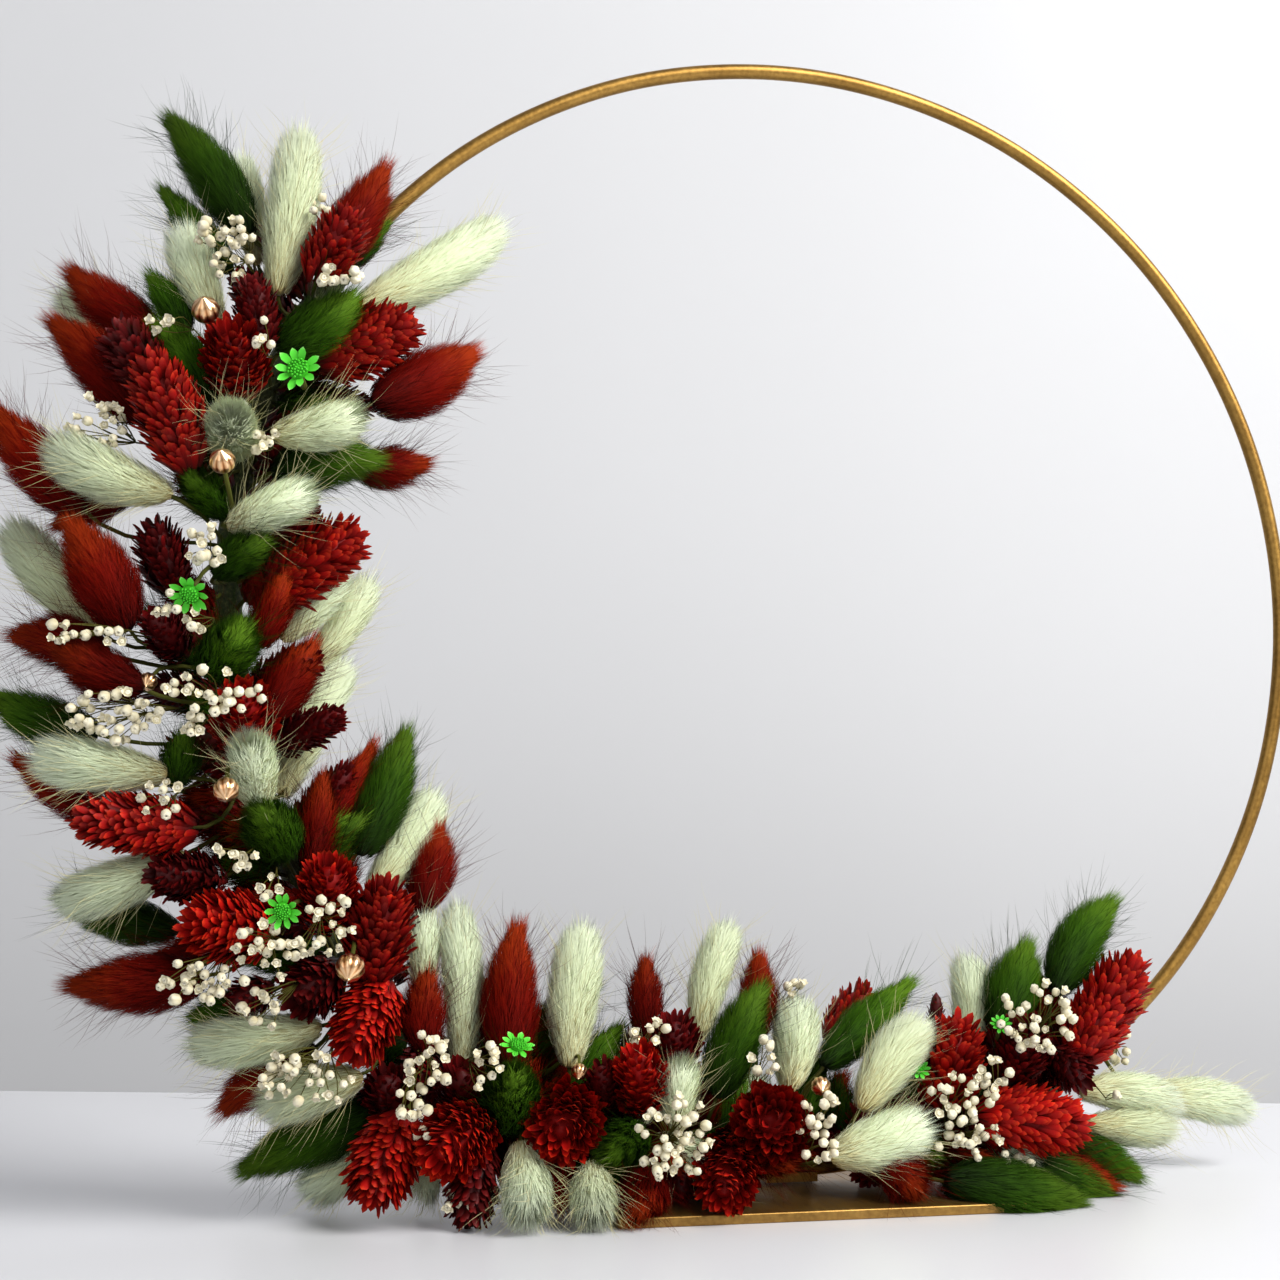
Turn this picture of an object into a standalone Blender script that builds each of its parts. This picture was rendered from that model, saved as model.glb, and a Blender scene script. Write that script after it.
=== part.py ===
"""A dried-flower hoop that stands on a flat base plate.

A round metal hoop is welded to a rectangular plate. Floral tape wraps the left
and lower part of the hoop, and eight bunches of dried flowers are tied there:
bunny tails, canary grass heads, button daisies, seed pods and baby's breath.
Each kind of flower in a bunch is one body: its stems meet in a taped foot.

Flower places are in millimetres. x runs right and z up from the hoop's centre,
and front is the distance before the hoop's plane. Metres are used in Blender.
"""

import math

import bmesh
import bpy
import numpy as np
from mathutils import Matrix, Vector

MM = 0.001

HOOP_OUTER_DIAMETER = 300.0
ROD_DIAMETER = 4.0
HOOP_RADIUS = (HOOP_OUTER_DIAMETER - ROD_DIAMETER) / 2
PLATE_LENGTH = 110.0
PLATE_DEPTH = 80.0
PLATE_THICKNESS = 2.5
PLATE_EDGE = 0.4
WELD_GAP = 1.0
WELD_LENGTH = 14.0
WELD_WIDTH = 9.0
WELD_HEIGHT = 2.4
HOOP_CENTRE = HOOP_OUTER_DIAMETER / 2 + PLATE_THICKNESS + WELD_GAP

TAPES = {"stem_tape_left": (140.0, 261.0), "stem_tape_right": (279.0, 305.0)}
TAPE_STEP = 5.0
TAPE_INNER_RADIUS = ROD_DIAMETER / 2 + 0.3
TAPE_RADIUS = 4.0

GAP = 0.35
FOOT_RADIUS = 1.9
FOOT_LENGTH = 9.0
FOOT_ROLL_STEP = 25.0
STEM_RADIUS = 0.65
STEM_POINTS = 5
SIDES = 5

# Shape of a head: (share of its length, share of its greatest radius).
TAIL_PROFILE = ((0.0, 0.5), (0.3, 0.98), (0.78, 0.78))
CANARY_PROFILE = ((0.0, 0.5), (0.28, 0.98), (0.75, 0.85))
POD_PROFILE = ((0.0, 0.4), (0.35, 1.0), (0.8, 0.7))
DAISY_PROFILE = ((0.0, 0.3), (0.5, 0.95), (0.85, 0.9))
SPRAY_PROFILE = ((0.0, 0.3), (0.5, 0.9), (0.85, 0.85))

# Kind of flower: node name, head profile, linear colour, roughness, metallic.
KINDS = {
    "pale": ("pale_bunny_tails", TAIL_PROFILE, (0.62, 0.68, 0.44), 0.85, 0.0),
    "green": ("green_bunny_tails", TAIL_PROFILE, (0.06, 0.16, 0.01), 0.85, 0.0),
    "red": ("red_bunny_tails", TAIL_PROFILE, (0.25, 0.006, 0.004), 0.85, 0.0),
    "canary": ("red_canary_grass", CANARY_PROFILE, (0.33, 0.006, 0.006), 0.6, 0.0),
    "maroon": ("maroon_canary_grass", CANARY_PROFILE, (0.09, 0.003, 0.006), 0.6, 0.0),
    "pod": ("gold_seed_pods", POD_PROFILE, (0.62, 0.36, 0.16), 0.3, 0.9),
    "daisy": ("green_button_daisies", DAISY_PROFILE, (0.16, 0.62, 0.05), 0.5, 0.0),
    "spray": ("cream_babys_breath", SPRAY_PROFILE, (0.75, 0.68, 0.48), 0.7, 0.0),
}

# Bunch: where it is tied, in degrees round the hoop from the right, the middle
# of its feet in degrees round the tape, from outwards to the front, and its
# flowers. Flower: kind, width, base (x, z, front), tip (x, z, front).
BUNCHES = (
    (157.0, 90.0, (
        ("green", 12, (-149, 89, 18), (-167, 115, 20)),
        ("green", 10, (-150, 76, 16), (-168, 96, 18)),
        ("pale", 11, (-144, 80, 2), (-150, 105, 0)),
        ("pale", 13, (-139, 72, 24), (-134, 114, 26)),
        ("pale", 12, (-153, 62, 26), (-163, 87, 28)),
        ("red", 14, (-128, 78, 12), (-111, 107, 14)),
        ("canary", 14, (-130, 77, 26), (-121, 94, 32)),
        ("red", 9, (-118, 81, -9), (-108, 98, -12)),
        ("green", 7, (-121, 80, 6), (-111, 93, 8)),
        ("pale", 14, (-119, 69, 12), (-82, 93, 16)),
        ("green", 14, (-138, 57, 22), (-119, 73, 36)),
        ("canary", 14, (-128, 56, 16), (-105, 66, 20)),
        ("maroon", 10, (-143, 58, 34), (-145, 76, 38)),
        ("pod", 7, (-155, 62, 36), (-156, 68, 40)),
        ("daisy", 11, (-132, 52, 37), (-134, 53, 43)),
        ("spray", 14, (-147, 70, 30), (-153, 89, 34)),
    )),
    (170.0, 90.0, (
        ("red", 16, (-116, 44, 18), (-88, 61, 20)),
        ("green", 9, (-160, 58, 14), (-170, 75, 14)),
        ("green", 12, (-153, 42, 26), (-167, 63, 30)),
        ("red", 11, (-166, 58, 6), (-190, 74, 8)),
        ("pale", 11, (-168, 52, -2), (-191, 69, -4)),
        ("red", 14, (-171, 39, 20), (-194, 64, 18)),
        ("maroon", 12, (-164, 46, 20), (-178, 62, 24)),
        ("canary", 14, (-157, 26, 34), (-170, 54, 38)),
        ("canary", 14, (-146, 47, 28), (-150, 62, 42)),
        ("pale", 13, (-144, 32, 20), (-150, 39, 44)),
        ("pale", 13, (-139, 36, 26), (-118, 42, 38)),
        ("green", 13, (-139, 27, 14), (-112, 33, 22)),
        ("red", 11, (-124, 27, 4), (-99, 30, 4)),
        ("daisy", 10, (-155, -4, 38), (-158, -4, 43)),
        ("pod", 6, (-150, 25, 40), (-151, 30, 44)),
    )),
    (184.0, 90.0, (
        ("red", 13, (-181, 14, 10), (-206, 40, 10)),
        ("pale", 14, (-163, 20, 26), (-193, 31, 30)),
        ("green", 9, (-150, 14, 16), (-158, 27, 30)),
        ("pale", 11, (-149, 13, 26), (-129, 24, 38)),
        ("green", 10, (-151, 1, 22), (-139, 11, 36)),
        ("canary", 13, (-138, -2, 12), (-116, 13, 16)),
        ("red", 16, (-172, -13, 22), (-187, 15, 30)),
        ("red", 10, (-168, 14, 6), (-191, 13, 4)),
        ("pale", 13, (-178, -13, 4), (-202, 12, 0)),
        ("maroon", 11, (-161, -4, 14), (-168, 14, 22)),
        ("red", 10, (-141, -16, 16), (-135, 3, 24)),
        ("pale", 12, (-136, -15, 2), (-120, 4, 4)),
        ("pale", 12, (-130, -24, 0), (-114, 2, -2)),
        ("green", 14, (-152, -23, 18), (-146, -11, 42)),
        ("maroon", 10, (-161, -18, 22), (-167, -8, 36)),
        ("red", 12, (-176, -19, 14), (-201, -14, 12)),
    )),
    (199.0, 90.0, (
        ("red", 12, (-140, -35, 14), (-127, -13, 18)),
        ("canary", 14, (-142, -41, 22), (-145, -28, 42)),
        ("red", 13, (-167, -28, 26), (-190, -17, 32)),
        ("green", 13, (-178, -38, 12), (-205, -29, 8)),
        ("pale", 13, (-133, -50, 9), (-120, -18, 4)),
        ("pale", 12, (-140, -56, 22), (-143, -39, 42)),
        ("green", 13, (-134, -67, 16), (-141, -53, 34)),
        ("pale", 13, (-162, -47, 24), (-194, -43, 26)),
        ("red", 11, (-173, -59, 10), (-198, -43, 6)),
        ("canary", 14, (-155, -60, 26), (-183, -57, 28)),
        ("green", 9, (-160, -50, 24), (-158, -35, 34)),
        ("pod", 6, (-149, -46, 42), (-148, -51, 45)),
        ("spray", 15, (-160, -31, 28), (-184, -34, 36)),
        ("spray", 12, (-148, -24, 34), (-162, -25, 42)),
    )),
    (215.0, 90.0, (
        ("pale", 12, (-157, -66, 16), (-188, -78, 18)),
        ("maroon", 12, (-149, -72, 24), (-165, -70, 34)),
        ("green", 10, (-157, -84, 4), (-187, -76, 0)),
        ("canary", 16, (-138, -83, 26), (-157, -81, 38)),
        ("red", 12, (-129, -68, 10), (-114, -40, 8)),
        ("green", 12, (-121, -68, 16), (-105, -33, 16)),
        ("pale", 11, (-114, -76, 9), (-100, -48, 5)),
        ("canary", 14, (-128, -83, 18), (-122, -68, 32)),
        ("canary", 14, (-111, -97, 26), (-110, -73, 36)),
        ("maroon", 13, (-121, -98, 18), (-134, -100, 32)),
        ("maroon", 10, (-136, -98, 12), (-148, -101, 18)),
        ("red", 14, (-152, -93, 12), (-187, -97, 10)),
        ("green", 11, (-133, -105, 4), (-158, -106, 2)),
        ("red", 12, (-101, -84, 12), (-95, -56, 12)),
        ("pale", 11, (-97, -105, 12), (-99, -79, 11)),
        ("daisy", 9, (-132, -79, 42), (-134, -80, 47)),
        ("pod", 7, (-116, -90, 40), (-117, -95, 44)),
        ("spray", 14, (-136, -90, 36), (-158, -96, 40)),
    )),
    (232.0, 90.0, (
        ("pale", 11, (-124, -107, 24), (-156, -112, 24)),
        ("canary", 14, (-112, -97, 30), (-116, -114, 40)),
        ("red", 12, (-123, -112, 14), (-149, -127, 12)),
        ("pale", 13, (-111, -116, 22), (-138, -126, 24)),
        ("green", 13, (-107, -126, 18), (-144, -140, 16)),
        ("pale", 12, (-104, -138, 6), (-137, -146, 2)),
        ("red", 11, (-98, -117, 18), (-100, -93, 24)),
        ("pale", 12, (-89, -117, 8), (-91, -75, 4)),
        ("maroon", 11, (-105, -130, 16), (-112, -119, 24)),
        ("canary", 15, (-102, -133, 22), (-111, -145, 36)),
        ("canary", 15, (-86, -134, 20), (-95, -138, 38)),
        ("maroon", 11, (-88, -130, 14), (-90, -118, 24)),
        ("maroon", 11, (-83, -137, 26), (-87, -148, 44)),
        ("red", 16, (-77, -118, 20), (-76, -82, 20)),
        ("daisy", 8, (-76, -117, 34), (-76, -113, 37)),
        ("spray", 14, (-96, -118, 30), (-104, -124, 42)),
    )),
    (253.0, 100.0, (
        ("pale", 14, (-56, -121, 12), (-58, -83, 8)),
        ("green", 13, (-76, -133, 20), (-80, -117, 44)),
        ("canary", 17, (-63, -141, 16), (-68, -128, 40)),
        ("pale", 11, (-75, -131, 30), (-78, -146, 52)),
        ("maroon", 10, (-65, -136, 24), (-69, -147, 36)),
        ("pale", 11, (-55, -136, 30), (-61, -146, 52)),
        ("green", 12, (-47, -136, 20), (-58, -140, 40)),
        ("red", 12, (-41, -139, 26), (-53, -145, 50)),
        ("maroon", 11, (-51, -131, 16), (-57, -117, 28)),
        ("canary", 13, (-42, -131, 20), (-49, -114, 32)),
        ("maroon", 12, (-39, -121, 12), (-34, -105, 16)),
        ("red", 11, (-40, -118, 4), (-42, -91, 2)),
        ("pale", 11, (-28, -121, 0), (-18, -83, -4)),
        ("pale", 12, (-35, -133, 22), (-38, -117, 36)),
        ("canary", 14, (-18, -139, 26), (-31, -143, 48)),
        ("pod", 5, (-64, -117, 28), (-64, -121, 32)),
        ("pod", 5, (-44, -110, 12), (-46, -113, 16)),
        ("spray", 15, (-32, -131, 28), (-42, -138, 44)),
        ("spray", 13, (-4, -139, 26), (1, -129, 36)),
        ("green", 12, (-25, -127, 20), (-14, -98, 22)),
        ("green", 8, (-28, -126, 12), (-20, -100, 8)),
        ("red", 10, (-16, -117, 0), (-8, -90, -2)),
        ("pale", 13, (-4, -127, 8), (1, -103, 4)),
        ("canary", 18, (-11, -139, 12), (-14, -128, 38)),
    )),
    (289.0, 115.0, (
        ("canary", 14, (13, -118, 4), (23, -100, 2)),
        ("green", 11, (4, -122, 14), (29, -97, 20)),
        ("pale", 14, (11, -133, 18), (32, -99, 20)),
        ("pale", 14, (-1, -145, 28), (22, -134, 42)),
        ("red", 12, (19, -143, 14), (34, -147, 22)),
        ("canary", 16, (33, -130, 14), (42, -109, 22)),
        ("maroon", 8, (22, -131, 14), (30, -124, 20)),
        ("pale", 13, (42, -123, 6), (49, -91, 2)),
        ("red", 5, (36, -117, 6), (38, -101, 6)),
        ("maroon", 13, (54, -125, 12), (60, -108, 20)),
        ("green", 13, (51, -113, 10), (63, -86, 10)),
        ("green", 12, (37, -143, 24), (76, -145, 34)),
        ("green", 12, (31, -144, 14), (63, -143, 20)),
        ("canary", 17, (46, -133, 22), (71, -134, 30)),
        ("spray", 16, (26, -131, 28), (44, -132, 36)),
        ("spray", 14, (58, -116, 18), (66, -100, 26)),
        ("green", 13, (64, -105, 12), (87, -76, 12)),
        ("canary", 13, (74, -119, 10), (93, -90, 14)),
        ("maroon", 12, (71, -126, 16), (73, -118, 34)),
        ("pale", 14, (80, -126, 8), (126, -132, 10)),
        ("pale", 13, (72, -132, 14), (107, -139, 16)),
        ("green", 10, (70, -134, 14), (92, -149, 20)),
        ("red", 9, (60, -140, 20), (84, -148, 26)),
    )),
)

EASE_STEPS = 220
TRIM_STEPS = 40
HEAD_MOBILITY = 0.3
HEAD_MOST_MOVE = 3.5
STEP_MOST_MOVE = 0.8
STEM_STIFFNESS = 0.12
FOOT_ROW_OFFSET = 2.2
NECK = 2.5


def polar(degrees, radius=HOOP_RADIUS):
    angle = math.radians(degrees)
    return np.array((radius * math.cos(angle), radius * math.sin(angle), 0.0))


def unit(vectors):
    return vectors / np.maximum(np.linalg.norm(vectors, axis=-1, keepdims=True), 1e-9)


class Chains:
    """Every foot, stem and head as chains of points with a radius, in (x, z, front)."""

    def __init__(self):
        self.points, self.radius, self.node = [], [], []
        self.mobility, self.head, self.ends, self.flowers = [], [], [], []

    def add(self, node, points, radii, heads):
        """Adds one chain. heads tells which of its points belong to the rigid head."""
        first = len(self.points)
        group = len(self.flowers)
        for number, (point, radius, head) in enumerate(zip(points, radii, heads)):
            self.points.append(point)
            self.radius.append(radius)
            self.node.append(node)
            self.head.append(group if head else -1)
            fixed = number == 0 or heads[0] is None
            self.mobility.append(0.0 if fixed else HEAD_MOBILITY if head else 1.0)
            if number:
                self.ends.append((first + number - 1, first + number))
        self.flowers.append((node, first, len(points)))

    def freeze(self):
        for name in ("points", "radius", "node", "mobility", "head", "ends"):
            setattr(self, name, np.array(getattr(self, name)))
        self.typed = self.points.copy()


def stem_guess(start, outward, neck, axis):
    """Points of a stem that leaves its foot outwards and reaches the neck along the head."""
    reach = np.linalg.norm(neck - start)
    first = start + outward * max(5.0, 0.35 * reach)
    last = neck - axis * 0.3 * reach
    shares = np.linspace(0, 1, STEM_POINTS)[:-1, None]
    curve = (1 - shares) ** 3 * start + 3 * (1 - shares) ** 2 * shares * first
    return curve + 3 * (1 - shares) * shares**2 * last + shares**3 * neck


def add_flower(chains, node, kind, width, base, tip, foot, outward):
    base, tip = np.array(base, float), np.array(tip, float)
    axis = unit(tip - base)
    neck = base - axis * NECK
    stem = stem_guess(foot, outward, neck, axis)
    profile = KINDS[kind][1]
    rings = [base + (tip - base) * share for share, _ in profile]
    points = [*stem, neck, *rings, tip]
    radii = [STEM_RADIUS] * (len(stem) + 1)
    radii += [max(STEM_RADIUS, share * width / 2) for _, share in profile] + [0.3]
    heads = [False] * len(stem) + [True] * (len(profile) + 2)
    chains.add(node, points, radii, heads)


def add_bunch(chains, number, place, middle, flowers):
    """Places the feet of one bunch round the tape, in the order their heads lie."""
    kinds = list(dict.fromkeys(flower[0] for flower in flowers))
    sides = {}
    for kind in kinds:
        bases = np.array([flower[2] for flower in flowers if flower[0] == kind], float)
        out = np.hypot(bases[:, 0], bases[:, 1]).mean() - HOOP_RADIUS
        sides[kind] = math.atan2(bases[:, 2].mean(), out)
    kinds.sort(key=lambda kind: sides[kind])
    for slot, kind in enumerate(kinds):
        row = FOOT_ROW_OFFSET * (1 if slot % 2 else -1)
        roll = math.radians(middle + (slot - (len(kinds) - 1) / 2) * FOOT_ROLL_STEP)
        radial = unit(polar(place + row))
        outward = radial * math.cos(roll) + np.array((0, 0, math.sin(roll)))
        foot = polar(place + row) + outward * (TAPE_RADIUS + GAP + FOOT_RADIUS)
        along = np.array((-radial[1], radial[0], 0)) * (FOOT_LENGTH / 2)
        node = f"{KINDS[kind][0]}_{number}"
        chains.add(node, (foot - along, foot + along), (FOOT_RADIUS,) * 2, (None, None))
        same = [flower for flower in flowers if flower[0] == kind]
        for number_in, (_, width, base, tip) in enumerate(same):
            share = (number_in + 0.5) / len(same) - 0.5
            start = foot + along * 1.5 * share
            add_flower(chains, node, kind, width, base, tip, start, outward)


def nearest_shares(a, b, c, d):
    """How far along segments ab and cd their nearest points lie."""
    u, v, w = b - a, d - c, a - c
    uu, vv, uv = (u * u).sum(1), (v * v).sum(1), (u * v).sum(1)
    uw, vw = (u * w).sum(1), (v * w).sum(1)
    s = np.clip((uv * vw - vv * uw) / np.maximum(uu * vv - uv * uv, 1e-9), 0, 1)
    t = np.clip((uv * s + vw) / np.maximum(vv, 1e-9), 0, 1)
    return np.clip((uv * t - uw) / np.maximum(uu, 1e-9), 0, 1), t


def touching(chains):
    """Pairs of segments of different nodes that are nearer than they may be."""
    starts, stops = chains.points[chains.ends[:, 0]], chains.points[chains.ends[:, 1]]
    middle = (starts + stops) / 2
    size = np.linalg.norm(stops - starts, axis=1) / 2
    size += chains.radius[chains.ends].max(axis=1) + GAP / 2
    apart = np.linalg.norm(middle[:, None] - middle[None], axis=2)
    near = np.triu(apart < size[:, None] + size[None], 1)
    owner = chains.node[chains.ends[:, 0]]
    i, j = np.nonzero(near & (owner[:, None] != owner[None]))
    s, t = nearest_shares(starts[i], stops[i], starts[j], stops[j])
    s, t = s[:, None], t[:, None]
    line = starts[i] * (1 - s) + stops[i] * s - starts[j] * (1 - t) - stops[j] * t
    space = np.linalg.norm(line, axis=1)
    ends_i, ends_j = chains.ends[i], chains.ends[j]
    radius = chains.radius
    wide_i = radius[ends_i[:, 0]] * (1 - s[:, 0]) + radius[ends_i[:, 1]] * s[:, 0]
    wide_j = radius[ends_j[:, 0]] * (1 - t[:, 0]) + radius[ends_j[:, 1]] * t[:, 0]
    over = wide_i + wide_j + GAP - space
    hit = over > 1e-3
    return [part[hit] for part in (ends_i, ends_j, s, t, unit(line), over, wide_i, wide_j)]


def push_pairs(chains, push):
    ends_i, ends_j, s, t, line, over, _, _ = touching(chains)
    free_i = chains.mobility[ends_i].max(axis=1)
    free_j = chains.mobility[ends_j].max(axis=1)
    total = np.maximum(free_i + free_j, 1e-9)
    move_i = line * (over * free_i / total)[:, None]
    move_j = -line * (over * free_j / total)[:, None]
    np.add.at(push, ends_i[:, 0], move_i * (1 - s))
    np.add.at(push, ends_i[:, 1], move_i * s)
    np.add.at(push, ends_j[:, 0], move_j * (1 - t))
    np.add.at(push, ends_j[:, 1], move_j * t)
    return len(over)


def hoop_faults(chains, points, radius):
    """How far each point must move to clear the hoop and its tape, and the way there."""
    flat = unit(points * (1, 1, 0))
    line = points - flat * HOOP_RADIUS
    angle = np.degrees(np.arctan2(flat[:, 1], flat[:, 0])) % 360
    taped = np.zeros(len(points), bool)
    for start, stop in TAPES.values():
        taped |= (angle > start - 4) & (angle < stop + 4)
    core = np.where(taped, TAPE_RADIUS, ROD_DIAMETER / 2)
    return np.maximum(core + radius + GAP - np.linalg.norm(line, axis=1), 0), unit(line)


def floor_of(points, radius):
    """The lowest a point may lie, over the plate or beside it on the ground."""
    over_plate = np.abs(points[:, 0]) < PLATE_LENGTH / 2 + radius + GAP
    over_plate &= np.abs(points[:, 2]) < PLATE_DEPTH / 2 + radius + GAP
    over_weld = np.abs(points[:, 0]) < WELD_LENGTH / 2 + radius + GAP
    over_weld &= np.abs(points[:, 2]) < WELD_WIDTH / 2 + radius + GAP
    low = np.where(over_plate, PLATE_THICKNESS + GAP, 0.05)
    low = np.where(over_weld, PLATE_THICKNESS + 0.3 + WELD_HEIGHT + GAP, low)
    return low - HOOP_CENTRE + radius


def push_solids(chains, push):
    for share in (0.0, 0.5, 1.0):
        first, last = chains.ends[:, 0], chains.ends[:, 1]
        points = chains.points[first] * (1 - share) + chains.points[last] * share
        radius = chains.radius[first] * (1 - share) + chains.radius[last] * share
        over, line = hoop_faults(chains, points, radius)
        move = line * over[:, None]
        move[:, 1] += np.maximum(floor_of(points, radius) - points[:, 1], 0)
        np.add.at(push, first, move * (1 - share))
        np.add.at(push, last, move * share)


def ease(chains):
    """Moves stems, and heads a little, until no two kinds touch."""
    groups = chains.head[chains.head >= 0]
    for step in range(EASE_STEPS):
        push = np.zeros_like(chains.points)
        push_pairs(chains, push)
        push_solids(chains, push)
        total = np.zeros((len(chains.flowers), 3))
        np.add.at(total, groups, push[chains.head >= 0] * 0.5)
        push[chains.head >= 0] = total[groups]
        push[chains.mobility == 0] = 0
        size = np.linalg.norm(push, axis=1, keepdims=True)
        push *= np.minimum(1, STEP_MOST_MOVE / np.maximum(size, 1e-9))
        chains.points += push
        hold_heads(chains)
        smooth_stems(chains, STEM_STIFFNESS * (1 - step / EASE_STEPS))


def hold_heads(chains):
    rigid = chains.head >= 0
    away = chains.points[rigid] - chains.typed[rigid]
    size = np.linalg.norm(away, axis=1, keepdims=True)
    away *= np.minimum(1, HEAD_MOST_MOVE / np.maximum(size, 1e-9))
    chains.points[rigid] = chains.typed[rigid] + away


def smooth_stems(chains, stiffness):
    inner = np.nonzero(chains.mobility == 1)[0]
    middle = (chains.points[inner - 1] + chains.points[inner + 1]) / 2
    chains.points[inner] += stiffness * (middle - chains.points[inner])


def shrink(chains, ends, over, width):
    keep = np.clip((width - over) / np.maximum(width, 1e-9), 0.5, 1)
    for column in (0, 1):
        np.minimum.at(chains.keep, ends[:, column], keep)


def trim(chains):
    """Narrows the heads where something still stands too near."""
    rigid = chains.head >= 0
    for _ in range(TRIM_STEPS):
        chains.keep = np.ones(len(chains.points))
        ends_i, ends_j, _, _, _, over, wide_i, wide_j = touching(chains)
        head_i = rigid[ends_i].all(axis=1) & (wide_i > STEM_RADIUS + 0.05)
        head_j = rigid[ends_j].all(axis=1) & (wide_j > STEM_RADIUS + 0.05)
        share_i = np.where(head_i & head_j, wide_i / (wide_i + wide_j), head_i)
        shrink(chains, ends_i[head_i], (over * share_i)[head_i], wide_i[head_i])
        share_j = np.where(head_i & head_j, wide_j / (wide_i + wide_j), head_j)
        shrink(chains, ends_j[head_j], (over * share_j)[head_j], wide_j[head_j])
        trim_to_solids(chains)
        chains.keep[~rigid] = 1
        thin = np.minimum(chains.radius, STEM_RADIUS)
        chains.radius = np.where(rigid, np.maximum(chains.radius * chains.keep, thin), chains.radius)


def trim_to_solids(chains):
    first, last = chains.ends[:, 0], chains.ends[:, 1]
    for share in (0.0, 0.25, 0.5, 0.75, 1.0):
        points = chains.points[first] * (1 - share) + chains.points[last] * share
        radius = chains.radius[first] * (1 - share) + chains.radius[last] * share
        over, _ = hoop_faults(chains, points, radius)
        over = np.maximum(over, floor_of(points, radius) - points[:, 1])
        bad = over > 1e-3
        shrink(chains, chains.ends[bad], over[bad], radius[bad])


def clear_scene():
    for thing in list(bpy.data.objects):
        bpy.data.objects.remove(thing)


def material(name, colour, roughness, metallic):
    made = bpy.data.materials.get(name) or bpy.data.materials.new(name)
    made.use_nodes = True
    shader = made.node_tree.nodes["Principled BSDF"]
    shader.inputs["Base Color"].default_value = (*colour, 1.0)
    shader.inputs["Roughness"].default_value = roughness
    shader.inputs["Metallic"].default_value = metallic
    made.diffuse_color = (*colour, 1.0)
    return made


def add_object(name, mesh, look, smooth=True):
    mesh.materials.append(look)
    thing = bpy.data.objects.new(name, mesh)
    bpy.context.scene.collection.objects.link(thing)
    for face in mesh.polygons:
        face.use_smooth = smooth
    return thing


def to_blender(point):
    """An (x, z, front) point in millimetres as a place in Blender."""
    return Vector((point[0], -point[2], point[1] + HOOP_CENTRE)) * MM


def tube_mesh(name, points, radii, sides=SIDES, closed=False, pointed=False):
    """A round tube along the points, with flat ends, or a pointed one, or none."""
    shape = bmesh.new()
    count = len(points)
    turned, last = None, None
    rings = []
    for number, (point, radius) in enumerate(zip(points, radii)):
        before = points[number - 1] if number or closed else point
        after = points[(number + 1) % count] if number < count - 1 or closed else point
        way = (after - before).normalized()
        if turned is None:
            turned = way.orthogonal().normalized()
        else:
            turned = last.rotation_difference(way) @ turned
        last = way
        other = way.cross(turned)
        ring = []
        if pointed and number == count - 1:
            tip = shape.verts.new(point)
            break
        for side in range(sides):
            angle = 2 * math.pi * side / sides
            spoke = turned * math.cos(angle) + other * math.sin(angle)
            ring.append(shape.verts.new(point + spoke * radius))
        rings.append(ring)
    spans = range(count if closed else len(rings) - 1)
    for number in spans:
        ring, above = rings[number], rings[(number + 1) % count]
        for side in range(sides):
            after = (side + 1) % sides
            shape.faces.new((ring[side], ring[after], above[after], above[side]))
    if pointed:
        for side in range(sides):
            shape.faces.new((rings[-1][side], rings[-1][(side + 1) % sides], tip))
    elif not closed:
        shape.faces.new(rings[-1])
    if not closed:
        shape.faces.new(reversed(rings[0]))
    bmesh.ops.recalc_face_normals(shape, faces=shape.faces)
    mesh = bpy.data.meshes.new(name)
    shape.to_mesh(mesh)
    shape.free()
    return mesh


def circle_points(radius, count, start=0.0, stop=360.0):
    step = (stop - start) / (count if stop - start == 360.0 else count - 1)
    return [to_blender(polar(start + step * number, radius)) for number in range(count)]


def add_hoop(metal):
    points = circle_points(HOOP_RADIUS, 64)
    radii = [ROD_DIAMETER / 2 * MM] * len(points)
    return add_object("hoop", tube_mesh("hoop", points, radii, 7, closed=True), metal)


def add_plate(metal):
    bpy.ops.mesh.primitive_cube_add(size=1, location=(0, 0, PLATE_THICKNESS / 2 * MM))
    plate = bpy.context.object
    plate.name = "base_plate"
    plate.data.name = "base_plate"
    size = (PLATE_LENGTH * MM, PLATE_DEPTH * MM, PLATE_THICKNESS * MM)
    plate.data.transform(Matrix.Diagonal((*size, 1)))
    plate.data.materials.append(metal)
    edge = plate.modifiers.new("edge", "BEVEL")
    edge.width = PLATE_EDGE * MM
    edge.segments = 2
    return plate


def join_all(first, others):
    """Joins closed meshes that cross into one body."""
    tools = bpy.data.collections.new(first.name + "_parts")
    bpy.context.scene.collection.children.link(tools)
    for other in others:
        for holder in list(other.users_collection):
            holder.objects.unlink(other)
        tools.objects.link(other)
        other.hide_render = True
        other.display_type = "WIRE"
    tools.hide_render = True
    union = first.modifiers.new("join", "BOOLEAN")
    union.operation = "UNION"
    union.solver = "EXACT"
    union.operand_type = "COLLECTION"
    union.collection = tools


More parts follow.
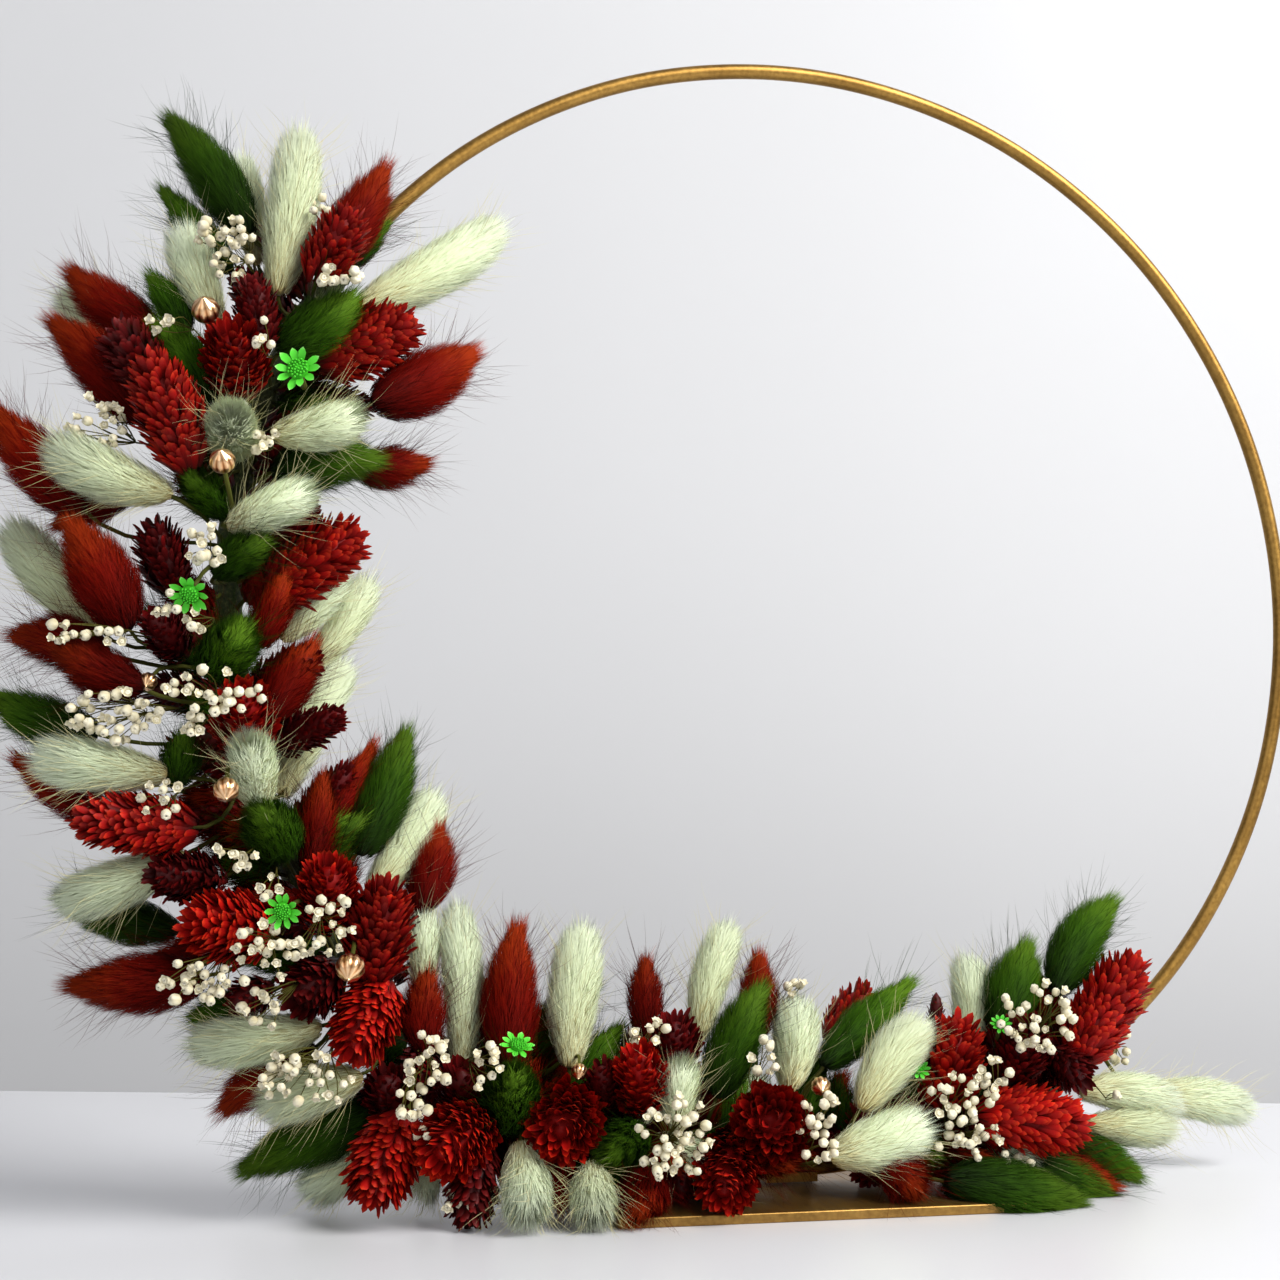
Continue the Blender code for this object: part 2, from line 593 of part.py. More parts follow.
def add_weld(metal, groove_name="weld_groove"):
    """A small saddle of weld under the hoop, with room left all round the rod."""
    low = PLATE_THICKNESS + 0.3
    high = low + WELD_HEIGHT
    bpy.ops.mesh.primitive_cube_add(size=1, location=(0, 0, (low + high) / 2 * MM))
    weld = bpy.context.object
    weld.name = "hoop_weld"
    weld.data.name = "hoop_weld"
    size = (WELD_LENGTH * MM, WELD_WIDTH * MM, WELD_HEIGHT * MM)
    weld.data.transform(Matrix.Diagonal((*size, 1)))
    weld.data.materials.append(metal)
    points = circle_points(HOOP_RADIUS, 31, 262.0, 278.0)
    radii = [(ROD_DIAMETER / 2 + 0.3) * MM] * len(points)
    groove = add_object(groove_name, tube_mesh(groove_name, points, radii, 12), metal)
    groove.hide_render = True
    groove.display_type = "WIRE"
    cut = weld.modifiers.new("groove", "BOOLEAN")
    cut.operation = "DIFFERENCE"
    cut.solver = "EXACT"
    cut.object = groove
    return weld


def add_tape(name, start, stop, look):
    """A tape sleeve: a hollow tube along a dressed part of the hoop."""
    count, sides = 1 + round((stop - start) / TAPE_STEP), 7
    shape = bmesh.new()
    rings = {}
    for layer, radius in (("outer", TAPE_RADIUS), ("inner", TAPE_INNER_RADIUS)):
        for number in range(count):
            place = start + (stop - start) * number / (count - 1)
            spokes = []
            for side in range(sides):
                roll = 2 * math.pi * side / sides
                across = HOOP_RADIUS + radius * math.cos(roll)
                point = polar(place, across) + np.array((0, 0, radius * math.sin(roll)))
                spokes.append(shape.verts.new(to_blender(point)))
            rings[layer, number] = spokes
    for side in range(sides):
        after = (side + 1) % sides
        for number in range(count - 1):
            for layer in ("outer", "inner"):
                low, high = rings[layer, number], rings[layer, number + 1]
                shape.faces.new((low[side], low[after], high[after], high[side]))
        for number in (0, count - 1):
            edge, bore = rings["outer", number], rings["inner", number]
            shape.faces.new((edge[side], edge[after], bore[after], bore[side]))
    bmesh.ops.recalc_face_normals(shape, faces=shape.faces)
    mesh = bpy.data.meshes.new(name)
    shape.to_mesh(mesh)
    shape.free()
    return add_object(name, mesh, look)


def add_flowers(chains):
    """One body for each kind in each bunch: the foot, with its flowers joined on."""
    nodes = {}
    for node, first, count in chains.flowers:
        nodes.setdefault(node, []).append((first, count))
    looks = {}
    for name, _, colour, roughness, metallic in KINDS.values():
        looks[name] = (colour, roughness, metallic)
    for node, parts in nodes.items():
        look = material(node, *looks[node.rsplit("_", 1)[0]])
        made = []
        for number, (first, count) in enumerate(parts):
            points = [to_blender(point) for point in chains.points[first : first + count]]
            radii = chains.radius[first : first + count] * MM
            name = node if not number else f"{node}_{number}"
            shape = tube_mesh(name, points, radii, pointed=bool(number))
            made.append(add_object(name, shape, look))
        join_all(made[0], made[1:])


def build():
    clear_scene()
    metal = material("gold_metal", (0.48, 0.30, 0.08), 0.35, 1.0)
    add_hoop(metal)
    add_plate(material("gold_plate", (0.48, 0.30, 0.08), 0.35, 1.0))
    add_weld(material("gold_weld", (0.42, 0.26, 0.07), 0.45, 1.0))
    for name, (start, stop) in TAPES.items():
        add_tape(name, start, stop, material("floral_tape", (0.09, 0.11, 0.04), 0.8, 0.0))
    chains = Chains()
    for number, (place, middle, flowers) in enumerate(BUNCHES, 1):
        add_bunch(chains, number, place, middle, flowers)
    chains.freeze()
    ease(chains)
    trim(chains)
    add_flowers(chains)


build()
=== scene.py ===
import math

import bmesh
import bpy
import numpy as np
from mathutils import Matrix, Vector


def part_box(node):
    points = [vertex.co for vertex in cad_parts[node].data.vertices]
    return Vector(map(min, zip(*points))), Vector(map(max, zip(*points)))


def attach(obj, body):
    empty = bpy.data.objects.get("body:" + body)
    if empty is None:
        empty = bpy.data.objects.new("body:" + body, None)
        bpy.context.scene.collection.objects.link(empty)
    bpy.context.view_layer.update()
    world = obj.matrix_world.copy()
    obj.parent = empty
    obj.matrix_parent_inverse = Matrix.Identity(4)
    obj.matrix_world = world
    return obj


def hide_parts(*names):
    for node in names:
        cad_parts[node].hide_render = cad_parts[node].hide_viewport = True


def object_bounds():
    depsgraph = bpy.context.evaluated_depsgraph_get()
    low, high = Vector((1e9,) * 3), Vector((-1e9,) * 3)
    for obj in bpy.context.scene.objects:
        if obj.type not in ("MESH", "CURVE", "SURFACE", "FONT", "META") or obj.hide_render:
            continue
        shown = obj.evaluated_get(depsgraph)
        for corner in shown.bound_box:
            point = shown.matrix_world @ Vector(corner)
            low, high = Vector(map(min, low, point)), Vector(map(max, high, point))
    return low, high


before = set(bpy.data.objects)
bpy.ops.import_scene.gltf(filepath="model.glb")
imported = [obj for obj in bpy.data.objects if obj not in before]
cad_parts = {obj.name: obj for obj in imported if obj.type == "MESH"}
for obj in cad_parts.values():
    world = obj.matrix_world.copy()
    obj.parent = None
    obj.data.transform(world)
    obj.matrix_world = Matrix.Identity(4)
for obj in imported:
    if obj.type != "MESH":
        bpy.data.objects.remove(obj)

CAD_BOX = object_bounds()
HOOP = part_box("hoop")
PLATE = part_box("base_plate")
ROD_RADIUS = 2.0
HOOP_CENTRE = (HOOP[0].z + HOOP[1].z) / 2 * 1000
HOOP_RADIUS = (HOOP[1].z - HOOP[0].z) / 2 * 1000 - ROD_RADIUS
FLOOR_CLEARANCE = 0.3

# The eye stands left of the hoop and a little below its centre. Millimetres.
EYE = np.array((-168.5, -512.6, HOOP_CENTRE - 54.5))
HEADING = math.radians(13.95)
PITCH = math.radians(4.85)
ROLL = math.radians(0.56)
LENS = 56.5
SENSOR = 36
SHEET_FRONT = 20.0

# Flowers as (x, z, front) of the base, then of the tip, then the radius, in
# millimetres from the hoop's centre. x and z are where the flower shows against an
# upright sheet SHEET_FRONT before the hoop; front is how far before the hoop it is.
FLOWERS = {
    "pale": (
        (-144, 78, 4, -149, 105, 4, 5), (-139, 71, 18, -134, 114, 16, 7),
        (-153, 62, 16, -163, 87, 16, 6), (-119, 69, 8, -82, 93, 4, 7.5),
        (-168, 54, 4, -191, 68, 2, 6), (-145, 34, 14, -150, 40, 44, 7),
        (-139, 36, 24, -117, 42, 36, 6), (-149, 13, 22, -129, 23, 38, 5.5),
        (-163, 20, 26, -193, 31, 34, 7), (-178, -14, 5, -201, 12, 3, 7),
        (-136, -14, 4, -121, 4, 8, 5.5), (-130, -22, 2, -114, 2, 6, 5),
        (-135, -52, 5, -120, -18, 2, 6.5), (-140, -55, 22, -143, -38, 42, 6),
        (-162, -47, 26, -194, -43, 30, 6.5), (-157, -66, 18, -187, -78, 22, 6.5),
        (-113, -76, 10, -97, -50, 8, 6.5), (-100, -101, 12, -100, -79, 12, 4.5),
        (-90, -118, 12, -92, -77, 12, 5.5), (-124, -107, 20, -156, -111, 22, 6.5),
        (-114, -119, 24, -139, -126, 26, 6.5), (-110, -135, 10, -128, -147, 10, 6),
        (-96, -140, 16, -99, -149, 20, 4), (-75, -136, 28, -73, -156, 46, 6.5),
        (-63, -118, 14, -60, -82, 12, 7), (-57, -142, 30, -56, -156, 46, 6),
        (-30, -112, 6, -22, -82, 6, 5.5), (-35, -134, 22, -34, -117, 32, 5),
        (-6, -125, 12, -4, -101, 10, 6.5), (13, -130, 24, 31, -107, 22, 7),
        (5, -142, 26, 33, -134, 34, 7.5), (42, -118, 4, 43, -91, 2, 6),
        (92, -128, -6, 125, -133, -8, 6.5), (74, -127, 4, 104, -131, 2, 6),
        (76, -136, 6, 102, -137, 4, 6),
    ),
    "green": (
        (-146, 85, 14, -167, 115, 14, 6.5), (-150, 76, 12, -168, 96, 12, 4.5),
        (-120, 80, 6, -112, 92, 6, 3), (-138, 57, 18, -118, 73, 34, 7),
        (-160, 60, 14, -170, 75, 14, 4.5), (-154, 43, 20, -168, 63, 26, 6.5),
        (-139, 27, 15, -111, 32, 25, 7), (-152, 1, 20, -139, 11, 34, 5),
        (-150, 16, 12, -160, 26, 30, 5), (-152, -22, 18, -144, -10, 40, 7),
        (-178, -38, 14, -205, -29, 12, 6), (-134, -66, 15, -141, -53, 34, 7),
        (-160, -50, 20, -158, -36, 28, 4.5), (-158, -84, 8, -187, -76, 6, 5.5),
        (-116, -66, 12, -104, -34, 12, 6.5), (-141, -101, 12, -156, -105, 14, 5),
        (-110, -127, 16, -144, -141, 16, 7), (-76, -132, 16, -77, -117, 42, 7),
        (-46, -134, 20, -54, -141, 38, 6), (-25, -126, 18, -13, -97, 26, 6.5),
        (3, -119, 14, 28, -97, 14, 5.5), (67, -101, 10, 85, -75, 8, 7),
        (52, -112, 10, 60, -86, 8, 7.5), (36, -149, 30, 78, -157, 36, 9),
        (54, -145, 18, 86, -157, 24, 7), (70, -139, 12, 93, -151, 14, 5),
    ),
    "red": (
        (-128, 78, 14, -112, 107, 12, 6.5), (-124, 78, -6, -111, 98, -8, 5),
        (-115, 45, 18, -87, 61, 18, 8), (-167, 58, 12, -190, 74, 10, 6.5),
        (-170, 38, 18, -193, 63, 20, 7), (-120, 29, 8, -99, 31, 8, 5.5),
        (-141, -16, 12, -135, 3, 20, 5), (-183, 15, 12, -206, 40, 12, 7),
        (-172, 20, 8, -191, 11, 8, 4.5), (-172, -13, 22, -187, 15, 30, 8),
        (-140, -34, 14, -127, -13, 20, 6), (-176, -19, 16, -200, -14, 14, 6.5),
        (-168, -27, 26, -190, -17, 34, 6), (-173, -59, 14, -198, -43, 12, 5),
        (-128, -70, 14, -125, -46, 16, 5), (-126, -62, 8, -112, -38, 8, 4.5),
        (-101, -80, 12, -96, -57, 12, 6), (-99, -114, 20, -99, -93, 26, 5.5),
        (-152, -95, 22, -185, -97, 24, 7), (-150, -88, 14, -166, -92, 12, 4.5),
        (-125, -112, 12, -149, -127, 12, 6.5), (-78, -118, 18, -77, -81, 20, 7),
        (-66, -138, 24, -64, -154, 34, 4.5), (-43, -112, 10, -44, -90, 12, 4.5),
        (-43, -144, 28, -46, -157, 44, 6), (-15, -112, 8, -14, -89, 8, 5),
        (20, -144, 26, 30, -152, 40, 6), (60, -143, 18, 86, -153, 20, 5),
    ),
    "canary": (
        (-129, 76, 22, -121, 95, 28, 6.5), (-128, 55, 20, -105, 67, 24, 8),
        (-159, 28, 28, -170, 54, 36, 7.5), (-147, 47, 22, -150, 62, 38, 7.5),
        (-138, -2, 12, -117, 13, 16, 8), (-143, -40, 22, -145, -27, 40, 7),
        (-156, -60, 26, -183, -57, 30, 7), (-138, -84, 24, -156, -82, 36, 8),
        (-124, -82, 20, -123, -68, 36, 7), (-112, -95, 24, -109, -72, 30, 7.5),
        (-110, -98, 22, -117, -114, 34, 7.5), (-104, -130, 24, -112, -149, 34, 8),
        (-86, -131, 24, -96, -139, 42, 8), (-64, -128, 20, -65, -134, 42, 8.5),
        (-44, -128, 20, -46, -114, 34, 6.5), (-10, -136, 16, -11, -131, 40, 9),
        (-22, -138, 20, -23, -151, 44, 7.5), (6, -112, 4, 16, -99, 4, 6),
        (35, -130, 18, 41, -108, 26, 8), (45, -133, 24, 76, -136, 32, 8),
        (73, -118, 16, 91, -92, 16, 8),
    ),
    "maroon": (
        (-143, 58, 22, -145, 76, 28, 5.5), (-167, 47, 24, -178, 61, 28, 7),
        (-162, -2, 14, -168, 14, 22, 6), (-160, -18, 16, -167, -8, 30, 5),
        (-150, -72, 20, -165, -70, 32, 6), (-122, -94, 18, -131, -101, 28, 7),
        (-138, -98, 16, -146, -103, 22, 5), (-85, -138, 26, -88, -156, 36, 6.5),
        (-90, -128, 14, -90, -117, 26, 6), (-106, -128, 14, -109, -118, 24, 6),
        (-37, -120, 16, -36, -106, 26, 6.5), (-54, -130, 16, -55, -117, 28, 5),
        (-34, -140, 18, -34, -152, 28, 4.5), (33, -114, 8, 34, -100, 8, 2.5),
        (54, -124, 16, 60, -108, 24, 7), (38, -130, 16, 24, -131, 24, 4),
        (68, -118, 14, 76, -125, 24, 6),
    ),
    "daisy": (
        (-132, 50, 37, -133.5, 53, 43, 5.6), (-156, 0, 34, -158, -4, 40, 5),
        (-132, -78, 40, -134, -79.5, 46, 4.4), (-77, -117, 30, -76, -112, 34, 4.4),
        (28, -122, 22, 29, -120, 26, 3.2), (51, -112, 20, 52, -109, 24, 3),
    ),
    "pod": (
        (-155, 62, 30, -156, 66, 34, 3.4), (-150, 25, 38, -151, 29, 42, 3.1),
        (-166, -23, 24, -167, -25, 28, 2.3), (-148, -47, 40, -148, -50.5, 44, 3),
        (-117, -90, 37, -117.5, -93, 40, 3.5), (-60, -116, 21, -60.5, -119, 24, 2.1),
        (-45, -110, 22, -46, -112, 26, 1.8), (2, -122, 22, 2.5, -124, 26, 2.5),
    ),
}

# Baby's breath: centre (x, z, front), half width, half height, number of buds.
SPRAYS = (
    (-151, 83, 26, 7, 8, 22), (-124.5, 77, 38, 6, 2, 8), (-129, 91, 22, 3, 7, 7),
    (-142, 60, 40, 2, 4, 4), (-165, 62, 36, 4, 2, 3), (-180, 37, 30, 7, 6, 16),
    (-140, 34, 34, 4, 3, 5), (-154, 8, 38, 5, 5, 9), (-163, -6, 38, 3, 3, 4),
    (-156, -10, 36, 3, 3, 4), (-182, -14, 36, 10, 3, 10), (-175, -33, 34, 11, 6, 26),
    (-152, -27, 44, 12, 5, 18), (-157, -35, 42, 3, 3, 5), (-163, -52, 36, 5, 5, 8),
    (-147, -67, 40, 6, 3, 7), (-138, -73, 44, 3, 3, 4), (-137, -88, 44, 7, 7, 16),
    (-125, -82, 42, 7, 8, 16), (-153, -96, 40, 10, 5, 20), (-138, -102, 36, 5, 5, 8),
    (-128, -119, 36, 11, 7, 24), (-98, -116, 36, 5, 7, 15), (-102, -125, 38, 4, 4, 8),
    (-98, -133, 36, 3, 3, 4), (-90, -149, 34, 3, 3, 3), (-84, -118, 40, 3, 6, 7),
    (-43, -110, 30, 5, 3, 6), (-36, -136, 44, 9, 10, 32), (-13, -116, 30, 4, 5, 6),
    (-5.5, -98, 12, 3, 4, 4), (2, -134, 38, 5, 9, 17), (41, -128, 34, 9, 6, 20),
    (50, -122, 34, 5, 4, 8), (42, -138, 32, 9, 5, 14), (62, -107, 30, 10, 9, 30),
    (84, -115, -6, 6, 6, 10), (85, -128, 22, 1, 1, 1), (56, -143, 30, 5, 2, 4),
)

NODE_NAMES = {
    "pale": "pale_bunny_tails", "green": "green_bunny_tails",
    "red": "red_bunny_tails", "canary": "red_canary_grass",
    "maroon": "maroon_canary_grass", "daisy": "green_button_daisies",
    "pod": "gold_seed_pods", "spray": "cream_babys_breath",
}

# Share of the length, share of the radius, of the fur's outline and of the core.
TAIL_OUTLINE = ((0, 0.45), (0.1, 0.7), (0.3, 0.93), (0.55, 1), (0.75, 0.95), (0.9, 0.72), (1, 0.35))
FLAME_OUTLINE = ((0, 0.5), (0.1, 0.8), (0.28, 1), (0.45, 0.97), (0.65, 0.76), (0.85, 0.44), (1, 0.12))
HEAD_OUTLINE = ((0, 0.5), (0.1, 0.8), (0.3, 1), (0.6, 1), (0.82, 0.8), (0.95, 0.5), (1, 0.2))

# Hairs, scales and buds: sizes in millimetres, the rest counts, shares or radians.
FIBRES_PER_MM2 = 34.0
TUFT_SIZE = 3.4
STRAY_SHARE = 0.07
CROWN_START = 0.9
AWNS_PER_TAIL = 135
BOX_MARGIN = 11
GOLDEN_ANGLE = math.radians(137.5)
BRACTS_PER_MM2 = 2.1
BUD_SPACING = 1.9

# The fill heads. Spans and steps are in degrees round the hoop, and LOW_ROW is in
# millimetres. The clearance is a share of the radius, and the density one of the hairs.
FILL_SPANS = ((146, 262), (279, 305))
FILL_STEP = 2.2
RISE_SPAN = (238, 306)
RISE_STEP = 2.6
FILL_CLEARANCE = 0.25
FILL_DENSITY = 0.5
LOW_ROW = (-44.0, 58.0)
LOW_COUNT = 22

# Seeds, so that every run draws the same flowers.
FILL_SEED = 77
KIND_SEED = 1000
SPRAY_SEED = 9000

# The wound tape, in millimetres: length of one ring of points, of one turn, and radius.
TAPE_STEP = 0.7
TAPE_TURN = 6.5
TAPE_RADIUS = 3.35

# The stalks' material number in a piece. The flowers' own is 0.
STALK_SLOT = 1

# The colour sockets of a Mix node, whose names repeat.
MIX_FACTOR, MIX_FIRST, MIX_SECOND, MIX_RESULT = 0, 6, 7, 2


def seat(x, z, front):
    """The typed place, slid along its line of sight to its own depth."""
    seen = np.array((x, -SHEET_FRONT, z + HOOP_CENTRE), float)
    return EYE + (seen - EYE) * (-front - EYE[1]) / (-SHEET_FRONT - EYE[1])


def unit(vectors):
    """These vectors, each one unit long."""
    return vectors / np.maximum(np.linalg.norm(vectors, axis=-1, keepdims=True), 1e-9)


def axes_of(way):
    """Two directions square to this one."""
    other = np.array((0.0, 0.0, 1.0)) if abs(way[2]) < 0.9 else np.array((1.0, 0.0, 0.0))
    side = unit(np.cross(way, other))
    return side, np.cross(way, side)


def spokes_round(way, angles):
    """Directions square to this one, at these angles round it."""
    side, other = axes_of(way)
    return np.cos(angles)[:, None] * side + np.sin(angles)[:, None] * other


def tube_faces(rows, sides):
    """The triangles between rows + 1 rings of this many points."""
    faces = []
    for row in range(rows):
        for k in range(sides):
            a, b = row * sides + k, row * sides + (k + 1) % sides
            faces += [(a, b, b + sides), (a, b + sides, a + sides)]
    return faces


def blade_faces():
    """The triangles of a pointed blade: four rows of three points, and its tip."""
    faces = []
    for row in range(3):
        for k in (0, 1):
            a = 3 * row + k
            faces += [(a, a + 1, a + 4), (a, a + 4, a + 3)]
    return faces + [(9, 10, 12), (10, 11, 12)]


class Shape:
    """Points, triangles, uv and material numbers of one piece, in millimetres."""

    def __init__(self):
        self.points, self.faces, self.uv, self.slots, self.normals = [], [], [], [], []
        self.count = 0

    def add(self, points, faces, uv, slot=0, normals=None):
        self.points.append(points)
        self.normals.append(np.zeros(np.shape(points)) if normals is None else normals)
        self.faces.append(np.asarray(faces) + self.count)
        self.uv.append(uv)
        self.slots.append(np.full(len(faces), slot))
        self.count += len(points)

    def build(self, name, materials):
        points = np.concatenate(self.points)
        faces = np.concatenate(self.faces).astype(np.int32)
        points[:, 2] = np.maximum(points[:, 2], lowest(points))
        mesh = bpy.data.meshes.new(name)
        mesh.vertices.add(len(points))
        mesh.vertices.foreach_set("co", (points * 0.001).astype(np.float32).ravel())
        mesh.loops.add(faces.size)
        mesh.loops.foreach_set("vertex_index", faces.ravel())
        mesh.polygons.add(len(faces))
        mesh.polygons.foreach_set("loop_start", np.arange(0, faces.size, 3, dtype=np.int32))
        mesh.polygons.foreach_set("material_index", np.concatenate(self.slots).astype(np.int32))
        mesh.polygons.foreach_set("use_smooth", np.full(len(faces), True))
        layer = mesh.uv_layers.new(name="OFBake")
        uv = np.concatenate(self.uv)[faces.ravel()].astype(np.float32)
        layer.data.foreach_set("uv", uv.ravel())
        for look in materials:
            mesh.materials.append(look)
        mesh.update()
        mesh.validate()
        normals = np.concatenate(self.normals)
        if normals.any():
            mesh.normals_split_custom_set_from_vertices(normals.astype(np.float32))
        thing = bpy.data.objects.new(name, mesh)
        bpy.context.scene.collection.objects.link(thing)
        return thing


def lowest(points):
    """Nothing sinks into the table or, over the plate, into the plate."""
    over = (points[:, 0] > PLATE[0].x * 1000) & (points[:, 0] < PLATE[1].x * 1000)
    over &= (points[:, 1] > PLATE[0].y * 1000) & (points[:, 1] < PLATE[1].y * 1000)
    return np.where(over, PLATE[1].z * 1000, 0.0) + FLOOR_CLEARANCE


def spine(base, tip, rng, bend=0.06):
    """A function that gives the points of a slightly bent line, and its directions."""
    axis = unit(tip - base)
    side, other = axes_of(axis)
    length = np.linalg.norm(tip - base)
    turn = rng.uniform(0, 2 * math.pi)
    away = (side * math.cos(turn) + other * math.sin(turn)) * length * bend * rng.uniform(0.4, 1)

    def at(shares):
        shares = np.asarray(shares, float)[:, None]
        points = base + (tip - base) * shares + away * 4 * shares * (1 - shares)
        ways = unit((tip - base) + away * 4 * (1 - 2 * shares))
        return points, ways

    return at


def lathe(shape, at, outline, radius, scale, sides, rows, tone):
    """A closed round body along a spine."""
    shares = np.linspace(0, 1, rows)
    points, ways = at(shares)
    wide = np.interp(shares, *zip(*outline)) * radius * scale
    wide[0] *= 0.5
    wide[-1] *= 0.3
    spokes = spokes_round(ways[rows // 2], np.linspace(0, 2 * math.pi, sides, endpoint=False))
    rings = points[:, None] + spokes[None] * wide[:, None, None]
    ends = np.stack((points[0], points[-1]))
    verts = np.concatenate((rings.reshape(-1, 3), ends))
    faces = tube_faces(rows - 1, sides)
    low, high = rows * sides, rows * sides + 1
    for k in range(sides):
        after = (k + 1) % sides
        faces.append((after, k, low))
        faces.append(((rows - 1) * sides + k, (rows - 1) * sides + after, high))
    uv = np.zeros((len(verts), 2))
    uv[:-2, 0] = np.repeat(shares * 0.6, sides)
    uv[-2:, 0] = (0, 0.6)
    uv[:, 1] = tone
    shape.add(verts, faces, uv)


def ribbons(shape, lines, widths, across, uv_u, uv_v, facing=None):
    """Thin pointed ribbons. lines is (rows, n, 3), widths (rows - 1), across (n, 3)."""
    rows, count = lines.shape[:2]
    points = []
    for row in range(rows - 1):
        half = across * widths[row][:, None] / 2
        points += [lines[row] - half, lines[row] + half]
    points.append(lines[-1])
    points = np.stack(points, axis=1)
    per = points.shape[1]
    quads = []
    for row in range(rows - 2):
        a = 2 * row
        quads += [(a, a + 1, a + 3), (a, a + 3, a + 2)]
    quads.append((per - 3, per - 2, per - 1))
    faces = np.array(quads)[None] + (np.arange(count) * per)[:, None, None]
    u = np.repeat(uv_u, 2, axis=0)[:-1].T
    v = np.repeat(uv_v[:, None], per, axis=1)
    uv = np.stack((u, v), -1).reshape(-1, 2)
    normals = None if facing is None else np.repeat(facing, per, axis=0)
    shape.add(points.reshape(-1, 3), faces.reshape(-1, 3), uv, normals=normals)


def tufts(shares, angles, radius, length):
    """The number of the tuft that each hair belongs to."""
    rows = max(4, int(length / TUFT_SIZE))
    around = max(5, int(2 * math.pi * radius / TUFT_SIZE))
    row = np.minimum((shares * rows).astype(int), rows - 1)
    turned = angles / (2 * math.pi) + 0.5 * (row % 2) / around
    return row * around + (turned * around).astype(int) % around


def drawn_together(ends, groups, share):
    """Each hair's end, moved this share of the way to the middle of its tuft."""
    total = np.zeros((groups.max() + 1, 3))
    np.add.at(total, groups, ends)
    count = np.bincount(groups, minlength=len(total))
    middle = total / np.maximum(count, 1)[:, None]
    return ends + (middle[groups] - ends) * share


def fur(shape, at, radius, length, rng, tone, outline, tufted, density=1.0):
    """The dense short hairs of a bunny tail, drawn together into small tufts."""
    count = int(FIBRES_PER_MM2 * radius * length * density)
    shares = rng.beta(1.1, 0.85, count)
    points, ways = at(shares)
    angles = rng.uniform(0, 2 * math.pi, count)
    spokes = spokes_round(ways[0], angles)
    groups = tufts(shares, angles, radius, length)
    outer = np.interp(shares, *zip(*outline)) * radius
    root = outer * rng.uniform(0.4, 0.72, count)
    stray = rng.random(count) < STRAY_SHARE
    lift = np.interp(shares, (0, 0.7, 1), (36, 29, 12)) + rng.normal(0, 8, count) + 12 * stray
    crown = shares > CROWN_START
    spread = np.sqrt(rng.random(count))
    crown_root = np.interp(CROWN_START, *zip(*outline)) * radius * 0.6 * spread
    root = np.where(crown, crown_root, root)
    lift = np.where(crown, 4 + (62 - 76 * tufted) * spread + rng.normal(0, 6, count), lift)
    lift = np.radians(lift)[:, None]
    slope = np.maximum(np.sin(np.abs(lift[:, 0])) * 0.8, 0.2)
    long = (outer - root) / slope * rng.uniform(0.8, 1.3, count)
    per_tuft = rng.uniform(0.85, 1.0 + 0.6 * tufted, groups.max() + 1)
    long = long * per_tuft[groups] * (1 + 0.6 * stray)
    domed = (1.5 + radius * (1 - spread**1.6)) * rng.uniform(0.6, 1.25, count)
    long = np.where(crown, domed, long)
    long = np.clip(long, 1.5, 8.5)[:, None]
    swirl = np.cross(ways, spokes) * rng.normal(0, 0.12, count)[:, None]
    first = unit(ways * np.cos(lift) + spokes * np.sin(lift) + swirl)
    then = unit(ways * np.cos(lift * 0.55) + spokes * np.sin(lift * 0.55) + swirl * 1.6)
    start = points + spokes * root[:, None]
    middle = start + first * long * 0.5
    end = drawn_together(middle + then * long * 0.5, groups, (tufted * ~crown)[:, None])
    roll = rng.normal(0, 0.6, count)[:, None]
    flat = unit(np.cross(first, spokes))
    across = unit(flat * np.cos(roll) + np.cross(first, flat) * np.sin(roll))
    thick = rng.uniform(0.75, 1.25, count) / math.sqrt(density) * (1 - 0.35 * stray)
    widths = [0.15 * thick, 0.11 * thick]
    ahead = np.interp(shares, (0.0, 0.65, 1.0), (0.1, 0.3, 1.5))[:, None]
    facing = unit(spokes * 0.8 + ways * ahead + rng.normal(0, 0.13, (count, 3)))
    # Colour runs from dark at the tail's base and each hair's root to light at the tips: partly the dye,
    # partly painted shade at the roots and painted light shining through the tips.
    u = np.stack([0.5 * shares + 0.5 * t for t in (0.0, 0.5, 1.0)])
    v = np.clip(tone + rng.normal(0, 0.09, count), 0.02, 0.98)
    ribbons(shape, np.stack((start, middle, end)), widths, across, u, v, facing)


def awns(shape, at, radius, rng, tone):
    """The long thin bristles that stand out of a bunny tail."""
    count = int(AWNS_PER_TAIL * radius / 6)
    shares = rng.uniform(0.12, 1.0, count)
    points, ways = at(shares)
    spokes = spokes_round(ways[0], rng.uniform(0, 2 * math.pi, count))
    outer = (np.interp(shares, *zip(*TAIL_OUTLINE)) * radius * 0.6)[:, None]
    lift = np.radians(rng.normal(36, 14, count))[:, None]
    long = rng.uniform(7, 18, count)[:, None]
    swirl = np.cross(ways, spokes) * rng.normal(0, 0.3, count)[:, None]
    start = points + spokes * outer
    lines, here = [start], start
    for step, ease in enumerate((1.0, 0.9, 0.75)):
        leaning = ways * np.cos(lift * ease) + spokes * np.sin(lift * ease)
        way = unit(leaning + swirl * (1 + 0.5 * step))
        here = here + way * long / 3
        lines.append(here)
    across = unit(np.cross(lines[1] - lines[0], EYE - start))
    across = unit(across + rng.normal(0, 0.5, (count, 3)))
    widths = [np.full(count, wide) for wide in (0.09, 0.08, 0.06)]
    # The bristles take colours from the dark root end of the ramp: painted shade, since they stand unlit
    # against the light.
    u = np.stack([np.full(count, part) for part in (0.12, 0.16, 0.2, 0.24)])
    v = np.clip(tone + rng.normal(0, 0.15, count), 0.02, 0.98)
    lines = keep_inside(np.stack(lines))
    ribbons(shape, lines, widths, across, u, v)


